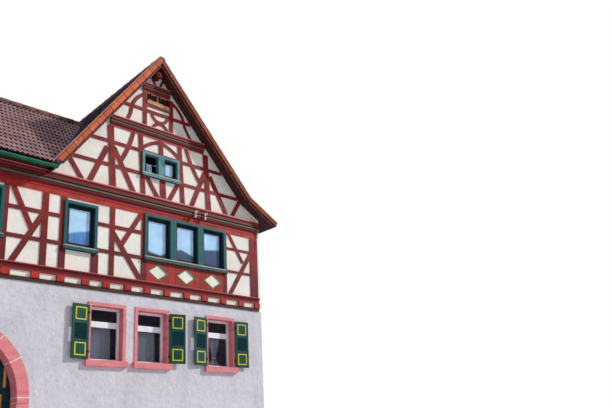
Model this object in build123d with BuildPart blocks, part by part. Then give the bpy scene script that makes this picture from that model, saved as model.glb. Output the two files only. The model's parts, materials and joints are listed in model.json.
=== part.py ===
from build123d import *
import math
import os

os.makedirs("parts", exist_ok=True)

# A half timbered house: a main block with its gable to the street, and a
# lower wing on its left over a cart gate. Millimetres. X runs along the
# street front, Y into the house, Z up from the ground. X is zero under the
# middle of the gable, Y is zero on the street face of the ground floor wall.

# Plan
LEFT = -3480
RIGHT = 3540
DEPTH = 9000
WING_LEFT = -7730
WING_DEPTH = 6000
WALL = 500
PARTY_WALL = 400
FRAME_WALL = 160

# Levels
GROUND_FLOOR = 1850
FLOOR = 150
WALL_TOP = 4540
BASE_BEAM = 100
JOIST = 150
SILL_BEAM = 190
STOREY = 1880
PLATE = 130
CORNICE = 430
GABLE_STAGE = 1800
MIDDLE_CORNICE_H = 330
LOFT_STAGE = 1080
TOP_CORNICE_H = 290
TOP_STAGE = 556

JOIST_FOOT = WALL_TOP + BASE_BEAM
JOIST_TOP = JOIST_FOOT + JOIST
SILL_TOP = JOIST_TOP + SILL_BEAM
PLATE_FOOT = SILL_TOP + STOREY
PLATE_TOP = PLATE_FOOT + PLATE
GABLE_FOOT = PLATE_TOP + CORNICE
MIDDLE_CORNICE = GABLE_FOOT + GABLE_STAGE
LOFT_FOOT = MIDDLE_CORNICE + MIDDLE_CORNICE_H
TOP_CORNICE = LOFT_FOOT + LOFT_STAGE
TOP_FOOT = TOP_CORNICE + TOP_CORNICE_H
RIDGE_Z = TOP_FOOT + TOP_STAGE

# Timber framing
PROUD = 10
SETBACK = 15
TIMBER = 110
POST = 150
RAIL = 100
BRACE = 125
THIN_BRACE = 100
CORNER_STRIP = 90
JOIST_PROUD = 60
BEAM_PROUD = 30
SILL_PROUD = 50

# Main roof: the ridge stands a little left of the middle. The underside
# meets the left wall a little over the plate, and the right wall, after a
# flatter flare, a little over the gable's foot.
RIDGE_X = -286
LEFT_HEAD = 74
RIGHT_HEAD = 113
FLARE = 690
FLARE_PITCH = 30
EAVE = 410
VERGE = 370
ROOF = 140
RIDGE_TILE = 130
RIDGE_SEAT = 500

# Wing roof: its wall runs on above the plate to the roof's underside
WING_PITCH = 41.6
WING_KNEE = 779
WING_EAVE = 400
EAVE_LIP = 30
FASCIA = 165
GUTTER = 65
GUTTER_METAL = 4

# Cart gate
GATE_X = -5250
SPRING = 1850
ARCH_OUTER = 1800
ARCH_INNER = 1530
ARCH_DEPTH = 350
ARCH_PROUD = 20
IMPOST = 120
LEAF = 60
LEAF_LAP = 170
LEAF_GAP = 8
LEAF_FOOT = 60
LEAF_BEHIND = 6
SLAT = 70
SLAT_GAP = 30

# Ground floor windows
STONE = 85
OPENING_W = 880
OPENING_FOOT = 2780
OPENING_H = 1370
SILL_STONE = 150
SILL_REACH = 75
SILL_HORN = 45
STONE_PROUD = 25
STONE_DEPTH = 280
FRAME_BACK = 190
FRAME_DEPTH = 60
SASH = 60
TRANSOM = 860
TRANSOM_H = 150

# Shutters
SHUTTER_W = 455
SHUTTER = 34
SHUTTER_AXIS = 50
SHUTTER_LAP = 50
SHUTTER_STILE = 62
SHUTTER_GAP = 10
SHUTTER_PANEL = 350
SHUTTER_LOUVRES = 390

# Hinge pins
PIN = 6
EYE = 12
EYE_H = 60
GATE_PIN = 12
GATE_EYE = 24
RUNNING = 0.3

# Upper windows
CASING = 76
CASING_PROUD = 45
MULLION = 195
CASING_SILL = 130
SILL_BOARD = 85
SILL_BOARD_REACH = 45
SILL_BOARD_HORN = 20
SASH_SETBACK = 60
SASH_DEPTH = 45
SASH_BAR = 90
GLASS = 6
OPEN_ANGLE = 70


def tan(degrees):
    return math.tan(math.radians(degrees))


def cos(degrees):
    return math.cos(math.radians(degrees))


def sin(degrees):
    return math.sin(math.radians(degrees))


def slant(rise, run):
    """The pitch of a slope in degrees."""
    return math.degrees(math.atan2(rise, run))


# Roof lines
FLARE_X = RIGHT - FLARE
FLARE_Z = GABLE_FOOT + RIGHT_HEAD + tan(FLARE_PITCH) * FLARE
LEFT_PITCH = slant(RIDGE_Z - PLATE_TOP - LEFT_HEAD, RIDGE_X - LEFT)
RIGHT_PITCH = slant(RIDGE_Z - FLARE_Z, FLARE_X - RIDGE_X)
WING_WALL_HEAD = PLATE_TOP + WING_KNEE
WING_RIDGE_Y = WING_DEPTH / 2
WING_RIDGE_Z = WING_WALL_HEAD + tan(WING_PITCH) * WING_RIDGE_Y
RIGHT_EAVE_X = RIGHT + EAVE
LEFT_EAVE_X = LEFT - EAVE


def under_left(x):
    """Height of the left slope's underside."""
    return RIDGE_Z - tan(LEFT_PITCH) * (RIDGE_X - x)


def under_left_x(z):
    """Where the left slope's underside has a height."""
    return RIDGE_X - (RIDGE_Z - z) / tan(LEFT_PITCH)


def over_left_x(z):
    """Where the left slope's top has a height."""
    return under_left_x(z - ROOF / cos(LEFT_PITCH))


def under_right(x):
    """Height of the right slope's underside, with its flare."""
    straight = RIDGE_Z - tan(RIGHT_PITCH) * (min(x, FLARE_X) - RIDGE_X)
    return straight - tan(FLARE_PITCH) * max(x - FLARE_X, 0)


def under_wing(y):
    """Height of the wing roof's underside."""
    return WING_RIDGE_Z - tan(WING_PITCH) * abs(WING_RIDGE_Y - y)


# Upright planes that face out of the house. The first coordinate runs to the
# right as seen from outside, so it is -X on the rear and -Y on the left flank.
def street(y=0):
    return Plane(origin=(0, y, 0), x_dir=(1, 0, 0), z_dir=(0, -1, 0))


def rear(y):
    return Plane(origin=(0, y, 0), x_dir=(-1, 0, 0), z_dir=(0, 1, 0))


def flank(x):
    return Plane(origin=(x, 0, 0), x_dir=(0, 1, 0), z_dir=(1, 0, 0))


def left_flank(x):
    return Plane(origin=(x, 0, 0), x_dir=(0, -1, 0), z_dir=(-1, 0, 0))


def keep(piece, name):
    """Labels a finished piece and writes it."""
    piece.part.label = name
    export_step(piece.part, f"parts/{name}.step")


def upright(left, right, foot, head, mode=Mode.ADD):
    """A rectangle of timber, stone or opening in the present sketch."""
    with Locations(((left + right) / 2, (foot + head) / 2)):
        Rectangle(abs(right - left), head - foot, mode=mode)


def brace(start, end, width=BRACE):
    """A straight slanted timber in the present sketch."""
    run = math.hypot(end[0] - start[0], end[1] - start[1])
    across_x = (end[1] - start[1]) / run * width / 2
    across_z = (start[0] - end[0]) / run * width / 2
    Polygon(
        (start[0] - across_x, start[1] - across_z),
        (start[0] + across_x, start[1] + across_z),
        (end[0] + across_x, end[1] + across_z),
        (end[0] - across_x, end[1] - across_z),
        align=None,
    )


def arched(start, middle, end, width=THIN_BRACE):
    """A timber on an arc through three points, in the present sketch."""
    with BuildLine() as curve:
        ThreePointArc(start, middle, end)
    trace(curve.line, line_width=width)


# Windows. On the ground floor a window is the middle of its opening along
# the wall. Above, it is left, right, foot, head and the number of lights.
STREET_CENTRES = (-1590, -285, 1960)
FLANK_CENTRES = (0.29 * DEPTH, 0.69 * DEPTH)
BACK_CENTRES = (-1700, 1700)
LEFT_CENTRES = ((WING_DEPTH + DEPTH - WALL) / 2,)
PASSAGE_HALF = 1300
PASSAGE_HEAD = 2700
PASSAGE_RISE = 500

UPPER_FOOT = SILL_TOP + 500
UPPER_HEAD = PLATE_FOOT - 80
UPPER_HALF = 560
WING_WINDOW_RIGHT = -4310
TRIPLE = (-570, 2190, SILL_TOP + 580, PLATE_FOOT + 40, 3)
GABLE_WINDOW = (-680, 540, GABLE_FOOT + 580, GABLE_FOOT + 1330, 2)
HATCH_H = 430
HATCH = (-560, 210, TOP_CORNICE - HATCH_H, TOP_CORNICE)

STREET_WINDOWS = (
    (2 * GATE_X - WING_WINDOW_RIGHT, WING_WINDOW_RIGHT, UPPER_FOOT, UPPER_HEAD, 2),
    (-2840, -1950, UPPER_FOOT, UPPER_HEAD, 1),
    TRIPLE,
)


def pair(centre):
    """A plain window of two lights about a place along a wall."""
    return (centre - UPPER_HALF, centre + UPPER_HALF, UPPER_FOOT, UPPER_HEAD, 2)


FLANK_WINDOWS = tuple(pair(centre) for centre in FLANK_CENTRES)
BACK_WINDOWS = tuple(pair(-centre) for centre in BACK_CENTRES)
BACK_GABLE_WINDOW = (-540, 680, GABLE_FOOT + 580, GABLE_FOOT + 1530, 2)
LEFT_WINDOWS = tuple(pair(-centre) for centre in LEFT_CENTRES)
WING_BACK_WINDOWS = (pair(-GATE_X),)

UPPER_WINDOWS = (
    (street(), STREET_WINDOWS + (GABLE_WINDOW,)),
    (flank(RIGHT), FLANK_WINDOWS),
    (rear(DEPTH), BACK_WINDOWS + (BACK_GABLE_WINDOW,)),
    (left_flank(LEFT), LEFT_WINDOWS),
    (rear(WING_DEPTH), WING_BACK_WINDOWS),
)
GROUND_WINDOWS = (
    (street(), STREET_CENTRES),
    (flank(RIGHT), FLANK_CENTRES),
    (rear(DEPTH), tuple(-centre for centre in BACK_CENTRES)),
    (left_flank(LEFT), tuple(-centre for centre in LEFT_CENTRES)),
)


def cut_windows(windows):
    """Takes the upper windows out of the present sketch."""
    for left, right, foot, head, lights in windows:
        upright(left, right, foot, head, Mode.SUBTRACT)


def cut_surrounds(centres):
    """Takes the holes for the sandstone surrounds out of the present sketch."""
    half = OPENING_W / 2 + STONE
    for centre in centres:
        upright(
            centre - half,
            centre + half,
            OPENING_FOOT - SILL_STONE,
            OPENING_FOOT + OPENING_H + STONE,
            Mode.SUBTRACT,
        )


# Ground floor masonry
with BuildPart() as front_wall:
    with BuildSketch(street()):
        upright(GATE_X + ARCH_OUTER, RIGHT, 0, WALL_TOP)
        cut_surrounds(STREET_CENTRES)
    extrude(amount=-WALL)
keep(front_wall, "front_wall")

with BuildPart() as gate_wall_left:
    with BuildSketch(street()):
        upright(WING_LEFT, GATE_X - ARCH_OUTER, 0, WALL_TOP)
    extrude(amount=-WALL)
keep(gate_wall_left, "gate_wall_left")

with BuildPart() as gate_wall_head:
    with BuildSketch(street()):
        upright(GATE_X - ARCH_OUTER, GATE_X + ARCH_OUTER, SPRING, WALL_TOP)
        with Locations((GATE_X, SPRING)):
            Circle(ARCH_OUTER, mode=Mode.SUBTRACT)
    extrude(amount=-WALL)
    with BuildSketch(street(ARCH_DEPTH)):
        upright(
            GATE_X - ARCH_OUTER,
            GATE_X + ARCH_OUTER,
            SPRING,
            SPRING + ARCH_OUTER,
        )
    extrude(amount=ARCH_DEPTH - WALL, mode=Mode.SUBTRACT)
keep(gate_wall_head, "gate_wall_head")

with BuildPart() as right_wall:
    with BuildSketch(flank(RIGHT)):
        upright(WALL, DEPTH - WALL, 0, WALL_TOP)
        cut_surrounds(FLANK_CENTRES)
    extrude(amount=-WALL)
keep(right_wall, "right_wall")

with BuildPart() as back_wall:
    with BuildSketch(rear(DEPTH)):
        upright(-RIGHT, -LEFT, 0, WALL_TOP)
        cut_surrounds(-centre for centre in BACK_CENTRES)
    extrude(amount=-WALL)
keep(back_wall, "back_wall")

with BuildPart() as left_wall:
    with BuildSketch(left_flank(LEFT)):
        upright(WALL - DEPTH, -WALL, 0, WALL_TOP)
        cut_surrounds(-centre for centre in LEFT_CENTRES)
    extrude(amount=-WALL)
keep(left_wall, "left_wall")

with BuildPart() as wing_party_wall:
    with BuildSketch(flank(WING_LEFT + PARTY_WALL)):
        inner = WING_DEPTH - FRAME_WALL
        Polygon(
            (WALL, 0),
            (WING_DEPTH, 0),
            (WING_DEPTH, WALL_TOP),
            (inner, WALL_TOP),
            (inner, under_wing(inner)),
            (WING_RIDGE_Y, WING_RIDGE_Z),
            (FRAME_WALL, under_wing(FRAME_WALL)),
            (FRAME_WALL, WALL_TOP),
            (WALL, WALL_TOP),
            align=None,
        )
    extrude(amount=-PARTY_WALL)
keep(wing_party_wall, "wing_party_wall")

with BuildPart() as wing_back_wall:
    with BuildSketch(rear(WING_DEPTH)):
        upright(-LEFT, -WING_LEFT - PARTY_WALL, 0, WALL_TOP)
        with BuildLine():
            Polyline(
                (-GATE_X + PASSAGE_HALF, PASSAGE_HEAD),
                (-GATE_X + PASSAGE_HALF, 0),
                (-GATE_X - PASSAGE_HALF, 0),
                (-GATE_X - PASSAGE_HALF, PASSAGE_HEAD),
            )
            ThreePointArc(
                (-GATE_X - PASSAGE_HALF, PASSAGE_HEAD),
                (-GATE_X, PASSAGE_HEAD + PASSAGE_RISE),
                (-GATE_X + PASSAGE_HALF, PASSAGE_HEAD),
            )
        make_face(mode=Mode.SUBTRACT)
    extrude(amount=-WALL)
keep(wing_back_wall, "wing_back_wall")

# Sandstone round the cart gate: jambs with their imposts, and the arch
with BuildPart() as gate_jambs:
    with BuildSketch(street(-ARCH_PROUD)):
        for side in (-1, 1):
            upright(GATE_X + side * ARCH_INNER, GATE_X + side * ARCH_OUTER, 0, SPRING)
    extrude(amount=-(ARCH_DEPTH + ARCH_PROUD))
    with BuildSketch(street(-ARCH_PROUD)):
        for side in (-1, 1):
            upright(
                GATE_X + side * ARCH_INNER,
                GATE_X + side * ARCH_OUTER,
                SPRING - IMPOST,
                SPRING,
            )
    extrude(amount=ARCH_PROUD)
keep(gate_jambs, "gate_jambs")

with BuildPart() as gate_arch:
    with BuildSketch(street(-ARCH_PROUD)):
        with Locations((GATE_X, SPRING)):
            Circle(ARCH_OUTER)
            Circle(ARCH_INNER, mode=Mode.SUBTRACT)
        upright(
            GATE_X - ARCH_OUTER,
            GATE_X + ARCH_OUTER,
            SPRING - ARCH_OUTER,
            SPRING,
            Mode.SUBTRACT,
        )
    extrude(amount=-(ARCH_DEPTH + ARCH_PROUD))
keep(gate_arch, "gate_arch")


# Sandstone surrounds of the ground floor windows, each with its sill
with BuildPart() as window_surrounds:
    for plane, centres in GROUND_WINDOWS:
        with BuildSketch(plane.offset(STONE_PROUD)):
            half = OPENING_W / 2 + STONE
            head = OPENING_FOOT + OPENING_H
            for centre in centres:
                upright(
                    centre - half,
                    centre + half,
                    OPENING_FOOT - SILL_STONE,
                    head + STONE,
                )
                upright(
                    centre - OPENING_W / 2,
                    centre + OPENING_W / 2,
                    OPENING_FOOT,
                    head,
                    Mode.SUBTRACT,
                )
        extrude(amount=-(STONE_PROUD + STONE_DEPTH))
        with BuildSketch(plane):
            for centre in centres:
                upright(
                    centre - half - SILL_HORN,
                    centre + half + SILL_HORN,
                    OPENING_FOOT - SILL_STONE,
                    OPENING_FOOT,
                )
        extrude(amount=STONE_PROUD + SILL_REACH)
keep(window_surrounds, "window_surrounds")

with BuildPart() as ground_window_frames:
    for plane, centres in GROUND_WINDOWS:
        with BuildSketch(plane.offset(-FRAME_BACK)):
            for centre in centres:
                left = centre - OPENING_W / 2
                right = centre + OPENING_W / 2
                bar = OPENING_FOOT + TRANSOM
                head = OPENING_FOOT + OPENING_H
                upright(left, right, OPENING_FOOT, head)
                upright(
                    left + SASH, right - SASH, OPENING_FOOT + SASH, bar, Mode.SUBTRACT
                )
                upright(
                    left + SASH,
                    right - SASH,
                    bar + TRANSOM_H,
                    head - SASH,
                    Mode.SUBTRACT,
                )
        extrude(amount=-FRAME_DEPTH)
keep(ground_window_frames, "ground_window_frames")


def lights(window):
    """The left and right edges of each light of an upper window."""
    left, right, foot, head, count = window
    clear = (right - left - 2 * CASING - (count - 1) * MULLION) / count
    for number in range(count):
        edge = left + CASING + number * (clear + MULLION)
        yield edge, edge + clear


# Painted casings of the upper windows, with mullions and a sill board
with BuildPart() as upper_casings:
    for plane, windows in UPPER_WINDOWS:
        with BuildSketch(plane.offset(CASING_PROUD)):
            for window in windows:
                left, right, foot, head, count = window
                upright(left, right, foot, head)
                for edge, far_edge in lights(window):
                    upright(
                        edge,
                        far_edge,
                        foot + CASING_SILL,
                        head - CASING,
                        Mode.SUBTRACT,
                    )
        extrude(amount=-(CASING_PROUD + TIMBER))
        with BuildSketch(plane.offset(CASING_PROUD)):
            for left, right, foot, head, count in windows:
                upright(
                    left - SILL_BOARD_HORN,
                    right + SILL_BOARD_HORN,
                    foot,
                    foot + SILL_BOARD,
                )
        extrude(amount=SILL_BOARD_REACH)
keep(upper_casings, "upper_casings")


# The left light of the gable window stands open, turned in on its left jamb
OPEN_EDGE, OPEN_FAR_EDGE = next(lights(GABLE_WINDOW))
OPEN_SASH = Plane(
    origin=(OPEN_EDGE + SASH_DEPTH * sin(OPEN_ANGLE) + RUNNING, SASH_SETBACK, 0),
    x_dir=(cos(OPEN_ANGLE), sin(OPEN_ANGLE), 0),
    z_dir=(sin(OPEN_ANGLE), -cos(OPEN_ANGLE), 0),
)


def closed_lights(window):
    """The lights of an upper window without the one that stands open."""
    for edge, far_edge in lights(window):
        if window is not GABLE_WINDOW or edge != OPEN_EDGE:
            yield edge, far_edge


def pane(window, edge, far_edge, mode=Mode.ADD):
    """The clear pane within a sash, in the present sketch."""
    upright(
        edge + SASH_BAR,
        far_edge - SASH_BAR,
        window[2] + CASING_SILL + SASH_BAR,
        window[3] - CASING - SASH_BAR,
        mode,
    )


def sash_frame(window, edge, far_edge):
    """The outline of a sash round its pane, in the present sketch."""
    upright(edge, far_edge, window[2] + CASING_SILL, window[3] - CASING)
    pane(window, edge, far_edge, Mode.SUBTRACT)


with BuildPart() as upper_sashes:
    for plane, windows in UPPER_WINDOWS:
        with BuildSketch(plane.offset(-SASH_SETBACK)):
            for window in windows:
                for edge, far_edge in closed_lights(window):
                    sash_frame(window, edge, far_edge)
        extrude(amount=-SASH_DEPTH)
    with BuildSketch(OPEN_SASH):
        sash_frame(GABLE_WINDOW, 0, OPEN_FAR_EDGE - OPEN_EDGE)
    extrude(amount=-SASH_DEPTH)
keep(upper_sashes, "upper_sashes")

with BuildPart() as window_glass:
    for plane, windows in UPPER_WINDOWS:
        with BuildSketch(plane.offset(-SASH_SETBACK - SASH_DEPTH / 2)):
            for window in windows:
                for edge, far_edge in closed_lights(window):
                    pane(window, edge, far_edge)
        extrude(amount=-GLASS)
    with BuildSketch(OPEN_SASH.offset(-SASH_DEPTH / 2)):
        pane(GABLE_WINDOW, 0, OPEN_FAR_EDGE - OPEN_EDGE)
    extrude(amount=-GLASS)
    for plane, centres in GROUND_WINDOWS:
        with BuildSketch(plane.offset(-FRAME_BACK - FRAME_DEPTH / 2)):
            for centre in centres:
                left = centre - OPENING_W / 2 + SASH
                right = centre + OPENING_W / 2 - SASH
                bar = OPENING_FOOT + TRANSOM
                head = OPENING_FOOT + OPENING_H - SASH
                upright(left, right, OPENING_FOOT + SASH, bar)
                upright(left, right, bar + TRANSOM_H, head)
        extrude(amount=-GLASS)
keep(window_glass, "window_glass")

# Beams between the masonry and the framed storey on the street front
with BuildPart() as base_beam:
    with BuildSketch(street(-BEAM_PROUD)):
        upright(WING_LEFT, RIGHT - CORNER_STRIP, WALL_TOP, JOIST_FOOT)
    extrude(amount=-(BEAM_PROUD + FRAME_WALL))
keep(base_beam, "base_beam")

JOISTS = (-4175, -3485, -2870, -2225, -1665, -1050, -470, 145, 785, 1405, 2070, 2735)
LAST_JOIST = 3360
JOIST_W = 195


def joist_places():
    """Middles of the joist ends, mirrored about the gate in the wing."""
    for middle in JOISTS:
        yield middle
        if middle < 2 * GATE_X - WING_LEFT - JOIST_W:
            yield 2 * GATE_X - middle
    yield LAST_JOIST
    yield GATE_X


with BuildPart() as joist_ends:
    with BuildSketch(street(-JOIST_PROUD)):
        for middle in joist_places():
            upright(middle - JOIST_W / 2, middle + JOIST_W / 2, JOIST_FOOT, JOIST_TOP)
    extrude(amount=-(JOIST_PROUD + SETBACK))
keep(joist_ends, "joist_ends")

with BuildPart() as sill_beam:
    with BuildSketch(flank(WING_LEFT)):
        with BuildLine():
            Polyline(
                (SETBACK, SILL_TOP),
                (SETBACK, JOIST_TOP),
                (-SILL_PROUD / 2, JOIST_TOP),
                (-SILL_PROUD / 2, JOIST_TOP + SILL_BEAM / 3),
            )
            ThreePointArc(
                (-SILL_PROUD / 2, JOIST_TOP + SILL_BEAM / 3),
                (-SILL_PROUD * 0.8, JOIST_TOP + SILL_BEAM * 0.45),
                (-SILL_PROUD, JOIST_TOP + SILL_BEAM * 0.66),
            )
            Polyline(
                (-SILL_PROUD, JOIST_TOP + SILL_BEAM * 0.66),
                (-SILL_PROUD * 1.6, JOIST_TOP + SILL_BEAM * 0.66),
                (-SILL_PROUD * 1.6, SILL_TOP - SILL_BEAM * 0.12),
                (-PROUD, SILL_TOP),
                (SETBACK, SILL_TOP),
            )
        make_face()
    extrude(amount=RIGHT - CORNER_STRIP - WING_LEFT)
keep(sill_beam, "sill_beam")

# Framed storey on the street front: posts as left and right edges, braces as
# foot, head and width. The wing repeats the ones beside its window mirrored.
HIGH_RAIL = PLATE_FOOT - 540
LOW_RAIL = SILL_TOP + 630
TENON = 20
SILL_POST = (-2090, -1890)
STREET_POSTS = (
    (-4320, -4200),
    (-3400, -3240),
    (-2940, -2770),
    (-1590, -1450),
    (-650, -490),
    (2080, 2240),
)
WING_BRACES = (
    ((-3600, LOW_RAIL + 190), (-4130, PLATE_FOOT + TENON), BRACE),
    ((-4060, SILL_TOP - TENON), (-3380, HIGH_RAIL - 70), 135),
)
STREET_BRACES = (
    ((-1250, LOW_RAIL + 250), (-650, PLATE_FOOT + TENON), BRACE),
    ((-650, SILL_TOP - TENON), (-1500, HIGH_RAIL - 160), 140),
    ((2860, LOW_RAIL + 390), (2310, PLATE_FOOT + TENON), THIN_BRACE),
    ((2350, SILL_TOP - TENON), (3220, HIGH_RAIL + 100), BRACE),
)


# Boarded parapets below the wide windows: left, right, head and lozenges
PARAPETS = (
    (TRIPLE[0] + 80, TRIPLE[1] - 110, TRIPLE[2], 3),
    (STREET_WINDOWS[0][0] + 10, STREET_WINDOWS[0][1] - 10, UPPER_FOOT, 2),
)


def in_wing(x):
    """The same place mirrored about the middle of the gate."""
    return 2 * GATE_X - x


with BuildPart() as front_frame:
    with BuildSketch(street(-PROUD)):
        upright(WING_LEFT, RIGHT - CORNER_STRIP, PLATE_FOOT, PLATE_TOP)
        for left, right in STREET_POSTS:
            upright(left, right, SILL_TOP, PLATE_FOOT)
            if right < 2 * GATE_X - WING_LEFT:
                upright(in_wing(right), in_wing(left), SILL_TOP, PLATE_FOOT)
        upright(SILL_POST[0], SILL_POST[1], SILL_TOP, UPPER_FOOT)
        upright(WING_LEFT, WING_LEFT + POST, SILL_TOP, PLATE_FOOT)
        upright(
            RIGHT - CORNER_STRIP - 2 * POST,
            RIGHT - CORNER_STRIP,
            SILL_TOP,
            PLATE_FOOT,
        )
        for middle in (HIGH_RAIL, LOW_RAIL):
            upright(
                WING_LEFT + POST,
                TRIPLE[0],
                middle - RAIL / 2,
                middle + RAIL / 2,
            )
            upright(
                TRIPLE[1],
                RIGHT - CORNER_STRIP,
                middle + RAIL / 4,
                middle + RAIL,
            )
        for foot, head, width in WING_BRACES:
            brace(foot, head, width)
            brace((in_wing(foot[0]), foot[1]), (in_wing(head[0]), head[1]), width)
        for foot, head, width in STREET_BRACES:
            brace(foot, head, width)
        cut_windows(STREET_WINDOWS)
        upright(WING_LEFT, RIGHT, JOIST_FOOT, SILL_TOP, Mode.SUBTRACT)
        for left, right, head, count in PARAPETS:
            upright(left, right, SILL_TOP, head, Mode.SUBTRACT)
    extrude(amount=-TIMBER)
keep(front_frame, "front_frame")

with BuildPart() as front_infill:
    with BuildSketch(street(SETBACK)):
        Polygon(
            (WING_LEFT, JOIST_FOOT),
            (RIGHT, JOIST_FOOT),
            (RIGHT, GABLE_FOOT),
            (over_left_x(GABLE_FOOT), GABLE_FOOT),
            (over_left_x(WING_WALL_HEAD), WING_WALL_HEAD),
            (WING_LEFT, WING_WALL_HEAD),
            align=None,
        )
        cut_windows(STREET_WINDOWS)
    extrude(amount=SETBACK - FRAME_WALL)
    add(front_frame.part, mode=Mode.SUBTRACT)
keep(front_infill, "front_infill")

# Boards of the parapets, with a row of framed lozenges
LOZENGE_W = 640
LOZENGE_H = 470
LOZENGE_RIM = 35
LOZENGE_PITCH = 918
PARAPET = 27


def lozenge_places():
    """Middles of the lozenges."""
    for left, right, head, count in PARAPETS:
        first = (left + right - (count - 1) * LOZENGE_PITCH) / 2
        for number in range(count):
            yield first + number * LOZENGE_PITCH, (SILL_TOP + head) / 2


def lozenge(middle, grow, mode=Mode.ADD):
    """A lozenge in the present sketch."""
    with Locations(middle):
        Polygon(
            (-LOZENGE_W / 2 - grow, 0),
            (0, -LOZENGE_H / 2 - grow),
            (LOZENGE_W / 2 + grow, 0),
            (0, LOZENGE_H / 2 + grow),
            mode=mode,
        )


with BuildPart() as parapet_panels:
    with BuildSketch(street(SETBACK - PARAPET)):
        for left, right, head, count in PARAPETS:
            upright(left, right, SILL_TOP, head)
        for middle in lozenge_places():
            lozenge(middle, 0, Mode.SUBTRACT)
    extrude(amount=-PARAPET)
keep(parapet_panels, "parapet_panels")

with BuildPart() as parapet_lozenges:
    with BuildSketch(street(SETBACK - PARAPET)):
        for middle in lozenge_places():
            lozenge(middle, 0)
            lozenge(middle, -LOZENGE_RIM, Mode.SUBTRACT)
    extrude(amount=-PARAPET)
keep(parapet_lozenges, "parapet_lozenges")


# Cornices: the deep one at the gable's foot and two lighter ones above it
def cornice(foot, height, reach, left, right):
    """A moulded beam with a groove, a round, a bead and a stepped top."""
    plane = flank(left)
    step = height / 6
    with BuildSketch(plane) as profile:
        with BuildLine():
            Polyline(
                (SETBACK, foot + height),
                (SETBACK, foot),
                (-reach * 0.15, foot),
                (-reach * 0.15, foot + step),
            )
            ThreePointArc(
                (-reach * 0.15, foot + step),
                (-reach * 0.42, foot + step * 1.35),
                (-reach * 0.5, foot + step * 2),
            )
            ThreePointArc(
                (-reach * 0.5, foot + step * 2),
                (-reach * 0.68, foot + step * 2.5),
                (-reach * 0.6, foot + step * 3),
            )
            Polyline(
                (-reach * 0.6, foot + step * 3),
                (-reach * 0.8, foot + step * 3.4),
                (-reach * 0.8, foot + step * 4.4),
                (-reach, foot + step * 5),
                (-reach, foot + step * 5.7),
                (-reach * 0.6, foot + height),
                (SETBACK, foot + height),
            )
        make_face()
    extrude(profile.sketch, amount=right - left)


CORNICE_REACH = 140
LIGHT_REACH = 100


def gable_left(z):
    """The gable's left edge on the wall face at a height."""
    return under_left_x(z)


def gable_right(z):
    """The gable's right edge above the flare at a height."""
    return RIDGE_X + (RIDGE_Z - z) / tan(RIGHT_PITCH)


with BuildPart() as cornices:
    cornice(PLATE_TOP, CORNICE, CORNICE_REACH, WING_LEFT, RIGHT - CORNER_STRIP)
    for foot, height in (
        (MIDDLE_CORNICE, MIDDLE_CORNICE_H),
        (TOP_CORNICE, TOP_CORNICE_H),
    ):
        cornice(
            foot,
            height,
            LIGHT_REACH,
            gable_left(foot + height),
            gable_right(foot + height),
        )
keep(cornices, "cornices")


# Gable framing on the street front, which leans a little to the left. Its
# timbers stand in pairs about the middle of the gable.
LEAN = 0.065
GABLE_MIDDLE = 30
LOWER_RAIL = GABLE_FOOT + 635
UPPER_RAIL = GABLE_FOOT + 1325
LOFT_RAIL = LOFT_FOOT + 500
OUTER_POST = 1570
OUTER_POST_W = 180
INNER_POST = 650
INNER_POST_W = 140
LOFT_POSTS = (-610, 270)
LOFT_POST_W = 124
BOSS = 85
BOSS_DROP = 186


def stage(share):
    """A height in the gable's lower stage, from 0 at its foot to 1."""
    return GABLE_FOOT + share * GABLE_STAGE


def leaning(x, z):
    """A place in the gable, moved with its lean."""
    return (x - LEAN * (z - GABLE_FOOT), z)


def gable_place(side, out, share):
    """A leaning place a distance out from the gable's middle."""
    return leaning(GABLE_MIDDLE + side * out, stage(share))


def gable_post(x, foot, head, width=POST):
    """A post of the gable, leaning with it."""
    brace(leaning(x, foot), leaning(x, head), width)


GABLE_OUTLINE = (
    (gable_left(GABLE_FOOT), GABLE_FOOT),
    (RIGHT, GABLE_FOOT),
    (RIGHT, under_right(RIGHT)),
    (FLARE_X, under_right(FLARE_X)),
    (RIDGE_X, RIDGE_Z),
)

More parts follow.
